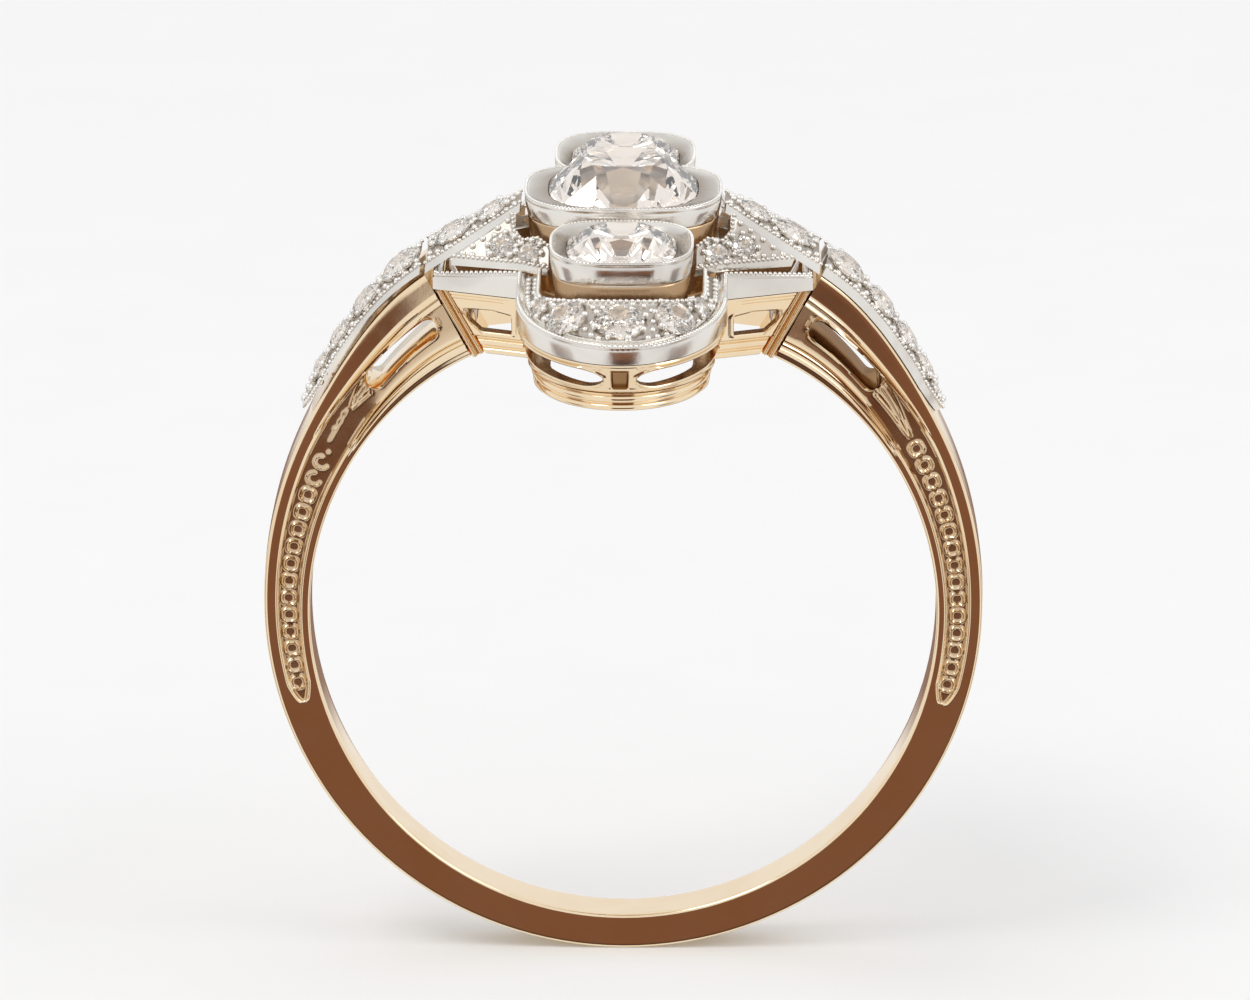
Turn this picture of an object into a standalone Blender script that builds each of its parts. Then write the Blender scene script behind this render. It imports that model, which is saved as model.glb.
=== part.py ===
"""Three-stone panel ring: a gold shank and gallery under a pierced, diamond-set platinum top.

Metres, +Z up. The origin is the centre of the finger hole, the finger lies along Y, and the
band lies in the XZ plane with its head at the top.
"""

import math

import bmesh
import bpy
from mathutils import Matrix, Vector

MM = 0.001
GAP = 0.02 * MM  # room between two pieces that touch on the bench

# Finger hole and band.
FINGER_RADIUS = 8.50 * MM
FINGER_SAG = 0.25 * MM  # the hole is this much longer at its lowest point, as on a worn ring
SHANK_START = 28.7  # degrees from the top, where the band meets the head
SHANK_STEPS = 76
EDGE_BEVEL = 0.12 * MM
SHOULDER_LIP = 0.30 * MM  # depth of the rounding on the band's outer edges
LIP_MIDDLE = 0.10 * MM
RIDGE_HALF = 0.08 * MM
BAND_CROWN = 0.06 * MM  # how far the plain band's back stands above its lips
# Angle from the top in degrees, outer radius and width.
BAND = (
    (28.0, 11.12 * MM, 2.62 * MM),
    (34.0, 10.93 * MM, 2.30 * MM),
    (40.0, 10.68 * MM, 2.06 * MM),
    (46.0, 10.43 * MM, 1.90 * MM),
    (53.0, 10.20 * MM, 1.80 * MM),
    (62.0, 10.02 * MM, 1.72 * MM),
    (75.0, 9.85 * MM, 1.66 * MM),
    (90.0, 9.74 * MM, 1.60 * MM),
    (120.0, 9.66 * MM, 1.50 * MM),
    (180.0, 9.70 * MM, 1.40 * MM),
)

# Pierced slot in each shoulder.
SLOT_FROM, SLOT_TO = 31.2, 46.4
SLOT_RADIUS_TOP, SLOT_RADIUS_LOW = 9.74 * MM, 9.48 * MM
SLOT_HALF = 0.24 * MM
SLOT_STEPS = 9
SLOT_END_SHARE, SLOT_END_RATE = 0.35, 0.45  # width at an end, and its growth per degree

# Platinum strip along each shoulder and up over the head to the centre collet.
STRIP_EDGE = 0.17 * MM
STRIP_CROWN = 0.14 * MM
STRIP_TIP = 56.5
STRIP_TAPER_FROM = 51.0
STRIP_THIN = 0.75  # height of the tapering end against the rest
STRIP_TIP_SHARE = 0.16  # half width at the tip against the full half width
STRIP_SETBACK = 0.03 * MM
STRIP_ROWS = (-1.0, -0.6, -0.2, 0.2, 0.6, 1.0)  # where the domed top has points, across its width
STRIP_STEPS = 16
SHOULDER_STONES = ((31.8, 0.68), (38.7, 0.60), (44.8, 0.52), (50.0, 0.43), (53.9, 0.29))
HEAD_STRIP_LOW, HEAD_STRIP_HIGH = 5.27 * MM, 2.74 * MM
HEAD_STRIP_Z = 9.99 * MM  # top of the strip's edge at its low end
HEAD_STRIP_RISE = 0.595
HEAD_STRIP_HALF = 0.70 * MM  # half its width at HEAD_STRIP_FULL_X
HEAD_STRIP_FLARE = 0.295
HEAD_STRIP_FULL_X = 2.90 * MM
HEAD_STRIP_STONES = ((4.56, 0.63), (3.52, 0.50))
HEAD_STRIP_STEPS = 8

# Plan of the head: a lobe at each end of the finger axis, a blunt point at each shoulder.
LOBE_HALF = 2.82 * MM
LOBE_END = 8.30 * MM
LOBE_CENTRE = 4.20 * MM
CORNER_X, CORNER_Y = 5.10 * MM, 1.50 * MM
NECK_X, NECK_Y = 2.85 * MM, 2.35 * MM
ARC_STEPS = 24
RIM_THICK = 0.26 * MM
RIM_FOOT_INSET = 0.03 * MM
RIM_BASE = 9.40 * MM
RIM_TOP_CORNER, RIM_TOP_NECK, RIM_TOP_END = 9.84 * MM, 10.12 * MM, 9.90 * MM

# Gold gallery below the platinum rim.
WALL_THICK = 0.33 * MM
WALL_TOP, WALL_BASE = 9.38 * MM, 8.12 * MM
WALL_INSET_TOP, WALL_INSET_BASE = 0.05 * MM, 0.38 * MM
SIDE_WALL_GAP = 0.03 * MM  # between a lobe's wall and the wall beside it
BASE_TOP, BASE_FOOT = 8.10 * MM, 7.60 * MM
LOBE_RISE = 0.42 * MM  # the gallery's foot sweeps up by this much from neck to lobe end
BASE_INSET, BASE_THICK = 0.42 * MM, 0.50 * MM
BASE_FOOT_INSET = 0.60 * MM
BASE_CORNER_X = 3.66 * MM
JUNCTION_THICK = 0.36 * MM
JUNCTION_ANGLE = 28.5
JUNCTION_INNER, JUNCTION_OUTER = 8.46 * MM, 10.55 * MM
JUNCTION_HALF = 1.36 * MM
WINDOW_LOW, WINDOW_HIGH = 8.66 * MM, 9.18 * MM
WINDOW_FROM, WINDOW_TO = 8.0, 80.0  # round the lobe: from its straight side to beside the post
WINDOW_STEPS = 9
WINDOW_OUTSIDE, WINDOW_INSIDE = -0.60 * MM, 1.30 * MM  # how far the cut reaches, as insets
WINDOW_END_SHARE, WINDOW_OPENING_RATE, WINDOW_POST_RATE = 0.30, 2.60, 1.15
SIDE_WINDOW = ((2.98, 8.28), (2.98, 8.84), (3.50, 8.94), (4.28, 8.90), (4.08, 8.56), (3.78, 8.28))  # X, Z
SIDE_WINDOW_Y = (1.0 * MM, 3.0 * MM)

# Pavé plates of the head.
PLATE_THICK = 0.22 * MM
PLATE_INSET = 0.30 * MM
LOBE_PLATE_START = 2.66 * MM
LOBE_OPEN_HALF, LOBE_OPEN_END, LOBE_OPEN_CENTRE = 2.15 * MM, 6.50 * MM, 4.23 * MM
LOBE_OPEN_POWER = 3.3
LOBE_OPEN_Z_SIDE, LOBE_OPEN_Z_END = 10.27 * MM, 10.62 * MM
LOBE_STONES = ((90.0, 0.66), (56.6, 0.56), (123.4, 0.56), (26.0, 0.33), (154.0, 0.33))
WING_TIP = Vector((4.58, 1.31, 10.20)) * MM
WING_RIDGE = Vector((2.88, 0.79, 11.32)) * MM
WING_FOOT = Vector((1.98, 2.44, 10.25)) * MM
WING_INNER = ((2.86, 1.20), (2.66, 1.50), (2.25, 1.58), (1.98, 1.86))
WING_NECK = (2.85, 2.01)
WING_STONES = ((3.22, 1.46, 0.36), (2.50, 1.87, 0.32))

# Collets and their stones. A stone sinks below its rim by sink and rises above it by crown.
COLLET_FOOT = 9.20 * MM
COLLET_TAPER = 0.86
CENTRE_COLLET = {"y": 0.0, "half": (2.67 * MM, 2.20 * MM), "rim": 11.85 * MM}
CENTRE_STONE = {
    "half": (2.00 * MM, 1.90 * MM),
    "crown": 0.83 * MM,
    "pavilion": 1.60 * MM,
    "sink": 0.08 * MM,
}
SIDE_COLLET = {"y": 4.23 * MM, "half": (1.93 * MM, 2.00 * MM), "rim": 11.58 * MM}
SIDE_STONE = {
    "half": (1.46 * MM, 1.62 * MM),
    "crown": 0.32 * MM,
    "pavilion": 1.20 * MM,
    "sink": 0.22 * MM,
}
COLLET_POINTS = 40
STONE_POINTS = 24
CUSHION_POWER = 2.9
TABLE_RATIO = 0.52
SEAT_DEPTH = 0.25 * MM
SEAT_LEDGE = 0.22 * MM
COLLET_WALL = 0.42 * MM
COLLET_EDGE, COLLET_EDGE_DROP = 0.10 * MM, 0.05 * MM
GIRDLE = 0.06 * MM
CULET_RATIO = 0.10

SMALL_STONE_SIDES = 8
# Sizes of a small stone, as parts of its radius.
SMALL_CROWN, SMALL_PAVILION, SMALL_TABLE = 0.20, 0.80, 0.56
SMALL_GIRDLE, SMALL_CULET, SMALL_DEPTH = 0.05, 0.10, 0.90
HOLE_RATIO = 0.90  # seat hole against stone radius
HOLE_SIDES = 12
HOLE_REACH = 1.2 * MM

GOLD = ("gold", (0.83, 0.62, 0.38), 1.0, 0.16)
PLATINUM = ("platinum", (0.80, 0.80, 0.79), 1.0, 0.22)
DIAMOND = ("diamond", (0.95, 0.96, 0.98), 0.0, 0.02)


def clear_scene():
    for obj in list(bpy.data.objects):
        bpy.data.objects.remove(obj)


def material(look):
    name, colour, metallic, roughness = look
    found = bpy.data.materials.get(name)
    if found:
        return found
    made = bpy.data.materials.new(name)
    made.use_nodes = True
    shader = made.node_tree.nodes["Principled BSDF"]
    shader.inputs["Base Color"].default_value = (*colour, 1.0)
    shader.inputs["Metallic"].default_value = metallic
    shader.inputs["Roughness"].default_value = roughness
    return made


def add_object(name, shape, look=None):
    """Makes an object of a bmesh. With no look it is a cutter, which only Booleans use."""
    bmesh.ops.recalc_face_normals(shape, faces=shape.faces)
    mesh = bpy.data.meshes.new(name)
    shape.to_mesh(mesh)
    shape.free()
    obj = bpy.data.objects.new(name, mesh)
    bpy.context.scene.collection.objects.link(obj)
    if look:
        mesh.materials.append(material(look))
        mesh.shade_smooth()
        mesh.set_sharp_from_angle(angle=math.radians(30))
    else:
        obj.hide_render = True
        obj.display_type = "WIRE"
    return obj


def add_loft(shape, rings, closed=False):
    """Joins rings of points, one after the other, with capped ends unless the last meets the first."""
    rows = [[shape.verts.new(point) for point in ring] for ring in rings]
    pairs = list(zip(rows, rows[1:]))
    if closed:
        pairs.append((rows[-1], rows[0]))
    for first, second in pairs:
        for i in range(len(first)):
            j = (i + 1) % len(first)
            shape.faces.new((first[i], first[j], second[j], second[i]))
    if not closed:
        shape.faces.new(rows[0])
        shape.faces.new(rows[-1])


def loft(name, rings, look=None, closed=False):
    shape = bmesh.new()
    add_loft(shape, rings, closed)
    return add_object(name, shape, look)


def cut(obj, cutter):
    boolean = obj.modifiers.new("cut_" + cutter.name, "BOOLEAN")
    boolean.operation = "DIFFERENCE"
    boolean.solver = "EXACT"
    boolean.object = cutter


def polar(radius, degrees, y=0.0):
    angle = math.radians(degrees)
    return Vector((radius * math.sin(angle), y, radius * math.cos(angle)))


def smooth_between(rows, at, column):
    """Reads a column of a table at any angle, with a Catmull-Rom curve through its rows."""
    last = len(rows) - 1
    i = max(k for k in range(last) if rows[k][0] <= max(at, rows[0][0]))
    low, high = rows[i], rows[i + 1]
    before, after = rows[max(i - 1, 0)], rows[min(i + 2, last)]
    span = high[0] - low[0]
    t = (at - low[0]) / span
    slope_low = (high[column] - before[column]) / (high[0] - before[0]) * span
    slope_high = (after[column] - low[column]) / (after[0] - low[0]) * span
    if i + 1 == last:
        slope_high = 0.0
    return (
        (2 * t**3 - 3 * t**2 + 1) * low[column]
        + (t**3 - 2 * t**2 + t) * slope_low
        + (3 * t**2 - 2 * t**3) * high[column]
        + (t**3 - t**2) * slope_high
    )


def band_radius(degrees):
    return smooth_between(BAND, abs(degrees), 1)


def band_half(degrees):
    return smooth_between(BAND, abs(degrees), 2) / 2


def finger_radius(degrees):
    down = max(0.0, -math.cos(math.radians(degrees)))
    return FINGER_RADIUS + FINGER_SAG * down**2


def band_section(degrees, side):
    """The band's section at an angle from the top: flat sides, eased inner edges, soft outer edges."""
    inner, outer, half = finger_radius(degrees), band_radius(degrees), band_half(degrees)
    crown = BAND_CROWN if degrees > STRIP_TIP else 0.0
    right = (
        (half - EDGE_BEVEL, inner),
        (half, inner + EDGE_BEVEL),
        (half, outer - SHOULDER_LIP),
        (half - LIP_MIDDLE, outer - LIP_MIDDLE),
        (half - SHOULDER_LIP, outer - crown / 2),
        (RIDGE_HALF, outer),
    )
    left = [(-y, radius) for y, radius in reversed(right)]
    return [polar(radius, side * degrees, y) for y, radius in (*right, *left)]


def make_shank():
    whole = 360.0 - 2 * SHANK_START
    rings = []
    for step in range(SHANK_STEPS + 1):
        degrees = SHANK_START + whole * step / SHANK_STEPS
        if degrees <= 180.0:
            rings.append(band_section(degrees, 1))
        else:
            rings.append(band_section(360.0 - degrees, -1))
    shank = loft("shank", rings, GOLD)
    for side in (-1, 1):
        cut(shank, slot_cutter(side))


def slot_cutter(side):
    """A long curved slot with round ends, through the shoulder from face to face."""
    outline = []
    for direction, ends in ((1, (SLOT_FROM, SLOT_TO)), (-1, (SLOT_TO, SLOT_FROM))):
        for step in range(SLOT_STEPS + 1):
            share = step / SLOT_STEPS
            degrees = ends[0] + (ends[1] - ends[0]) * share
            along = (degrees - SLOT_FROM) / (SLOT_TO - SLOT_FROM)
            middle = SLOT_RADIUS_TOP + (SLOT_RADIUS_LOW - SLOT_RADIUS_TOP) * along
            near_end = min(along, 1 - along) * (SLOT_TO - SLOT_FROM)
            rounding = min(1.0, SLOT_END_SHARE + near_end * SLOT_END_RATE)
            outline.append((middle + direction * SLOT_HALF * rounding, side * degrees))
    reach = BAND[0][2]
    rings = [[polar(radius, degrees, y) for radius, degrees in outline] for y in (-reach, reach)]
    return loft(f"slot_cutter_{side}", rings)


def strip_height(share):
    """Height of a strip's domed top above its edge, from 0 at the edge to 1 at the middle."""
    return STRIP_CROWN * (1 - share**2)


def strip_profile(half, thin=1.0):
    """Points (y, height above the underside) round a strip's section."""
    top = [
        (half * share, (STRIP_EDGE + strip_height(abs(share))) * thin)
        for share in STRIP_ROWS
    ]
    return [(-half, 0.0), *top, (half, 0.0)]


def shoulder_strip_half(degrees):
    half = band_half(degrees) - STRIP_SETBACK
    if degrees <= STRIP_TAPER_FROM:
        return half
    left = (STRIP_TIP - degrees) / (STRIP_TIP - STRIP_TAPER_FROM)
    return half * max(STRIP_TIP_SHARE, math.sqrt(left))


def strip_thinning(degrees):
    return 1.0 if degrees < STRIP_TAPER_FROM else STRIP_THIN


def stone_frame(at, normal):
    """A matrix that stands a stone on a surface point, with its table along the surface's normal."""
    return Matrix.Translation(at) @ normal.to_track_quat("Z", "Y").to_matrix().to_4x4()


def ring_of(radius, z, sides, turn=0.0):
    angles = [math.tau * (i + turn) / sides for i in range(sides)]
    return [Vector((radius * math.cos(a), radius * math.sin(a), z)) for a in angles]


def add_small_stone(name, radius, frame):
    """A small brilliant: flat table, crown, thin girdle and a pavilion down to a culet."""
    lift = (1 - HOLE_RATIO) * radius * SMALL_PAVILION + GAP
    girdle = SMALL_GIRDLE * radius
    foot = lift - SMALL_DEPTH * SMALL_PAVILION * radius
    rings = (
        ring_of(SMALL_CULET * radius, foot, SMALL_STONE_SIDES),
        ring_of(radius, lift, SMALL_STONE_SIDES),
        ring_of(radius, lift + girdle, SMALL_STONE_SIDES),
        ring_of(SMALL_TABLE * radius, lift + girdle + SMALL_CROWN * radius, SMALL_STONE_SIDES),
    )
    stone = loft(name, rings, DIAMOND)
    stone.data.transform(frame)


def seat_holes(obj, seats):
    """Cuts a round hole under each stone of a plate."""
    shape = bmesh.new()
    for frame, radius in seats:
        rings = [
            [frame @ point for point in ring_of(HOLE_RATIO * radius, z, HOLE_SIDES, 0.5)]
            for z in (-HOLE_REACH, HOLE_REACH)
        ]
        add_loft(shape, rings)
    cut(obj, add_object("holes_" + obj.name, shape))


def make_shoulder_strip(side, word):
    rings = []
    for step in range(STRIP_STEPS + 1):
        degrees = SHANK_START + (STRIP_TIP - SHANK_START) * step / STRIP_STEPS
        under = band_radius(degrees) + GAP
        profile = strip_profile(shoulder_strip_half(degrees), strip_thinning(degrees))
        rings.append([polar(under + height, side * degrees, y) for y, height in profile])
    strip = loft(f"{word}_shoulder_strip", rings, PLATINUM)
    seats = []
    for number, (degrees, radius) in enumerate(SHOULDER_STONES, 1):
        top = band_radius(degrees) + GAP + (STRIP_EDGE + STRIP_CROWN) * strip_thinning(degrees)
        slope = (band_radius(degrees + 1) - band_radius(degrees - 1)) / (
            math.radians(2) * band_radius(degrees)
        )
        tilt = side * (degrees - math.degrees(math.atan(slope)))
        frame = stone_frame(polar(top, side * degrees), polar(1.0, tilt))
        seats.append((frame, radius * MM))
        add_small_stone(f"{word}_shoulder_stone_{number}", radius * MM, frame)
    seat_holes(strip, seats)


def head_strip_edge_z(x):
    return HEAD_STRIP_Z + (HEAD_STRIP_LOW - x) * HEAD_STRIP_RISE


def head_strip_half(x):
    return HEAD_STRIP_HALF + (x - HEAD_STRIP_FULL_X) * HEAD_STRIP_FLARE


def make_head_strip(side, word):
    rings = []
    for step in range(HEAD_STRIP_STEPS + 1):
        x = HEAD_STRIP_LOW + (HEAD_STRIP_HIGH - HEAD_STRIP_LOW) * step / HEAD_STRIP_STEPS
        under = head_strip_edge_z(x) - STRIP_EDGE
        profile = strip_profile(head_strip_half(x))
        rings.append([Vector((side * x, y, under + height)) for y, height in profile])
    strip = loft(f"{word}_head_strip", rings, PLATINUM)
    normal = Vector((side * HEAD_STRIP_RISE, 0, 1)).normalized()
    seats = []
    for number, (x, radius) in enumerate(HEAD_STRIP_STONES, 1):
        at = Vector((side * x * MM, 0, head_strip_edge_z(x * MM) + STRIP_CROWN))
        frame = stone_frame(at, normal)
        seats.append((frame, radius * MM))
        add_small_stone(f"{word}_head_stone_{number}", radius * MM, frame)
    seat_holes(strip, seats)


def bar_y(x, inset=0.0):
    """Y of the straight edge between shoulder corner and neck, moved inwards by an inset."""
    along = Vector((NECK_X - CORNER_X, NECK_Y - CORNER_Y)).normalized()
    outward = Vector((along.y, -along.x)) * (1 if along.x < 0 else -1)
    reach = outward.x * CORNER_X + outward.y * CORNER_Y - inset
    return (reach - outward.x * x) / outward.y


def lobe_quarter(inset):
    """Plan points of a lobe from its side to its end, in the quadrant X > 0, Y > 0."""
    half, depth = LOBE_HALF - inset, LOBE_END - LOBE_CENTRE - inset
    quarter = [math.pi / 2 * i / (ARC_STEPS // 2) for i in range(ARC_STEPS // 2 + 1)]
    return [(half * math.cos(a), LOBE_CENTRE + depth * math.sin(a)) for a in quarter]


def head_outline(inset, corner_x):
    """The head's whole plan as a loop, anticlockwise from the right shoulder."""
    corner = (corner_x, bar_y(corner_x, inset))
    half = LOBE_HALF - inset
    first = [corner, (half, bar_y(half, inset)), *lobe_quarter(inset)]
    second = [(-x, y) for x, y in reversed(first[:-1])]
    upper = first + second
    return upper + [(-x, -y) for x, y in upper]


def rim_top(x, y):
    if abs(x) >= LOBE_HALF:
        share = (CORNER_X - abs(x)) / (CORNER_X - NECK_X)
        return RIM_TOP_CORNER + (RIM_TOP_NECK - RIM_TOP_CORNER) * min(1.0, share)
    share = max(0.0, abs(y) - NECK_Y) / (LOBE_END - NECK_Y)
    return RIM_TOP_NECK + (RIM_TOP_END - RIM_TOP_NECK) * share


def make_rim():
    """The platinum wall that edges the head, standing on the gold gallery."""
    outer = head_outline(0.0, CORNER_X)
    foot = head_outline(RIM_FOOT_INSET, CORNER_X - RIM_FOOT_INSET)
    inner = head_outline(RIM_THICK, CORNER_X - RIM_THICK)
    rings = []
    for (ox, oy), (fx, fy), (ix, iy) in zip(outer, foot, inner):
        top = rim_top(ox, oy)
        rings.append(
            [
                Vector((ox, oy, top)),
                Vector((ix, iy, top)),
                Vector((ix, iy, RIM_BASE)),
                Vector((fx, fy, RIM_BASE)),
            ]
        )
    loft("platinum_rim", rings, PLATINUM, closed=True)


def lobe_rise(y):
    """How far the gallery's foot has swept up at a distance from the band."""
    return LOBE_RISE * min(1.0, max(0.0, (abs(y) - NECK_Y) / (LOBE_END - NECK_Y)))


def make_base_rail():
    """The flat moulding that closes the gallery towards the finger."""
    outer = head_outline(BASE_INSET, BASE_CORNER_X)
    foot = head_outline(BASE_FOOT_INSET, BASE_CORNER_X)
    inner = head_outline(BASE_INSET + BASE_THICK, BASE_CORNER_X - BASE_THICK)
    rings = [
        [
            Vector((ox, oy, BASE_TOP + lobe_rise(oy))),
            Vector((ix, iy, BASE_TOP + lobe_rise(oy))),
            Vector((ix, iy, BASE_FOOT + lobe_rise(oy))),
            Vector((fx, fy, BASE_FOOT + lobe_rise(oy))),
        ]
        for (ox, oy), (ix, iy), (fx, fy) in zip(outer, inner, foot)
    ]
    loft("base_rail", rings, GOLD, closed=True)


def lobe_path(inset, start, sign):
    """Plan points round a whole lobe, from its +X side to its -X side, starting at |Y| = start."""
    half = LOBE_HALF - inset
    quarter = [(half, start), (half, (start + LOBE_CENTRE) / 2), *lobe_quarter(inset)]
    whole = quarter + [(-x, y) for x, y in reversed(quarter[:-1])]
    return [(x, sign * y) for x, y in whole]


def make_basket(sign, word):
    """Gold wall of one lobe, with two long windows either side of a post."""
    start = bar_y(LOBE_HALF, WALL_THICK) + GAP
    paths = [
        lobe_path(inset, start, sign)
        for inset in (
            WALL_INSET_TOP,
            WALL_INSET_TOP + WALL_THICK,
            WALL_INSET_BASE + WALL_THICK,
            WALL_INSET_BASE,
        )
    ]
    heights = (WALL_TOP, WALL_TOP, WALL_BASE, WALL_BASE)
    rings = []
    for corner in zip(*paths):
        rise = lobe_rise(corner[-1][1])
        lifts = (0.0, 0.0, rise, rise)
        rings.append([Vector((x, y, z + up)) for (x, y), z, up in zip(corner, heights, lifts)])
    basket = loft(f"{word}_basket", rings, GOLD)
    for side in (-1, 1):
        cut(basket, basket_window(sign, side, word))


def basket_window(sign, side, word):
    """A lens that follows the lobe's wall from beside the post to its straight side."""
    outer_path, inner_path = [], []
    for step in range(WINDOW_STEPS + 1):
        angle = math.radians(WINDOW_FROM + (WINDOW_TO - WINDOW_FROM) * step / WINDOW_STEPS)
        for path, inset in ((outer_path, WINDOW_OUTSIDE), (inner_path, WINDOW_INSIDE)):
            half, depth = LOBE_HALF - inset, LOBE_END - LOBE_CENTRE - inset
            path.append((side * half * math.cos(angle), LOBE_CENTRE + depth * math.sin(angle)))
    middle = (WINDOW_LOW + WINDOW_HIGH) / 2
    tall = (WINDOW_HIGH - WINDOW_LOW) / 2
    rings = []
    for step, (outer, inner) in enumerate(zip(outer_path, inner_path)):
        share = step / WINDOW_STEPS
        from_end = min(share, WINDOW_POST_RATE * (1 - share))
        opening = tall * min(1.0, WINDOW_END_SHARE + WINDOW_OPENING_RATE * from_end)
        rings.append(
            [
                Vector((outer[0], sign * outer[1], middle + opening)),
                Vector((inner[0], sign * inner[1], middle + opening)),
                Vector((inner[0], sign * inner[1], middle - opening)),
                Vector((outer[0], sign * outer[1], middle - opening)),
            ]
        )
    return loft(f"window_cutter_{word}_{side}", rings)


def junction_x(z):
    """X of the inner face of the junction plate at a height, less the bench gap."""
    lean = math.radians(JUNCTION_ANGLE)
    return z * math.tan(lean) - (JUNCTION_THICK + GAP) / math.cos(lean)


def make_gallery_side(sign, side, word):
    """Gold wall from the neck of a lobe to the shoulder, with one window."""
    corners = []
    for z, inset in ((WALL_TOP, WALL_INSET_TOP), (WALL_BASE, WALL_INSET_BASE)):
        far = junction_x(z)
        near = LOBE_HALF - inset + SIDE_WALL_GAP
        for depth in (inset, inset + WALL_THICK):
            corners.append([(x, bar_y(x, depth), z) for x in (near, far)])
    order = (corners[0], corners[1], corners[3], corners[2])
    rings = [
        [Vector((side * row[end][0], sign * row[end][1], row[end][2])) for row in order]
        for end in (0, 1)
    ]
    wall = loft(f"{word}_gallery_side", rings, GOLD)
    rings = [
        [Vector((side * x * MM, sign * y, z * MM)) for x, z in SIDE_WINDOW] for y in SIDE_WINDOW_Y
    ]
    cut(wall, loft(f"window_cutter_{word}", rings))


def make_junction(side, word):
    """Radial plate between a shoulder and the gallery."""
    lean = side * JUNCTION_ANGLE
    across = polar(1.0, lean - side * 90.0)
    rings = []
    for y in (-JUNCTION_HALF, JUNCTION_HALF):
        low, high = polar(JUNCTION_INNER, lean, y), polar(JUNCTION_OUTER, lean, y)
        rings.append([low, high, high + across * JUNCTION_THICK, low + across * JUNCTION_THICK])
    loft(f"{word}_junction_plate", rings, GOLD)


def lobe_plate_point(angle, share, sign):
    """A point on a lobe's plate: angle round the lobe in degrees, share from outer to inner edge."""
    a = math.radians(angle)
    half, depth = LOBE_HALF - PLATE_INSET, LOBE_END - LOBE_CENTRE - PLATE_INSET
    outer = Vector((half * math.cos(a), LOBE_CENTRE + depth * math.sin(a), 0))
    outer.z = rim_top(outer.x, outer.y)
    c, s = math.cos(a), math.sin(a)
    across = math.copysign(abs(c) ** (2 / LOBE_OPEN_POWER), c)
    along = abs(s) ** (2 / LOBE_OPEN_POWER)
    rise = LOBE_OPEN_Z_SIDE + (LOBE_OPEN_Z_END - LOBE_OPEN_Z_SIDE) * abs(s)
    inner = Vector((LOBE_OPEN_HALF * across, 0, rise))
    inner.y = LOBE_OPEN_CENTRE + (LOBE_OPEN_END - LOBE_OPEN_CENTRE) * along
    at = outer.lerp(inner, share)
    return Vector((at.x, sign * at.y, at.z))


def make_lobe_plate(sign, word):
    """The U-shaped plate between the rim and the collet's opening."""
    down = Vector((0, 0, PLATE_THICK))
    ends = []
    for side in (1, -1):
        outer = Vector((side * (LOBE_HALF - PLATE_INSET), sign * LOBE_PLATE_START, RIM_TOP_NECK))
        inner = Vector((side * LOBE_OPEN_HALF, sign * LOBE_PLATE_START, LOBE_OPEN_Z_SIDE))
        ends.append((outer, inner))
    arc = []
    for step in range(ARC_STEPS + 1):
        angle = 180.0 * step / ARC_STEPS
        arc.append([lobe_plate_point(angle, share, sign) for share in (0, 1)])
    rings = [
        [outer, inner, inner - down, outer - down] for outer, inner in (ends[0], *arc, ends[1])
    ]
    plate = loft(f"{word}_lobe_plate", rings, PLATINUM)
    seats = []
    for number, (angle, radius) in enumerate(LOBE_STONES, 1):
        at = lobe_plate_point(angle, 0.5, sign)
        along = lobe_plate_point(angle + 1, 0.5, sign) - lobe_plate_point(angle - 1, 0.5, sign)
        inwards = lobe_plate_point(angle, 1, sign) - lobe_plate_point(angle, 0, sign)
        normal = along.cross(inwards).normalized()
        if normal.z < 0:
            normal.negate()
        frame = stone_frame(at, normal)
        seats.append((frame, radius * MM))
        add_small_stone(f"{word}_lobe_stone_{number}", radius * MM, frame)
    seat_holes(plate, seats)


def make_wing(sign, side, word):
    """A roof-like triangular plate between a head strip, a lobe and the rim."""
    edge_a, edge_b = WING_RIDGE - WING_TIP, WING_FOOT - WING_TIP
    normal = edge_a.cross(edge_b).normalized()
    if normal.z < 0:
        normal.negate()

    def lifted(x, y):
        drop = normal.x * (x * MM - WING_TIP.x) + normal.y * (y * MM - WING_TIP.y)
        return Vector((x * MM, y * MM, WING_TIP.z - drop / normal.z))

    inner = [lifted(x, y) for x, y in WING_INNER]
    top = [WING_TIP, WING_RIDGE, *inner, WING_FOOT, lifted(*WING_NECK)]
    turn = Vector((side, sign, 1))
    rings = [[(point - normal * depth) * turn for point in top] for depth in (0.0, PLATE_THICK)]
    wing = loft(f"{word}_wing", rings, PLATINUM)
    seats = []
    for number, (x, y, radius) in enumerate(WING_STONES, 1):
        frame = stone_frame(lifted(x, y) * turn, normal * turn)
        seats.append((frame, radius * MM))
        add_small_stone(f"{word}_wing_stone_{number}", radius * MM, frame)
    seat_holes(wing, seats)


def cushion(half, scale, z, y, count):
    """A cushion-shaped ring of points: a square with bowed sides and round corners."""
    points = []
    for i in range(count):
        angle = math.tau * (i + 0.5) / count
        c, s = math.cos(angle), math.sin(angle)
        reach = (abs(c) ** CUSHION_POWER + abs(s) ** CUSHION_POWER) ** (-1 / CUSHION_POWER)
        points.append(Vector((half[0] * scale * reach * c, y + half[1] * scale * reach * s, z)))
    return points


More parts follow.
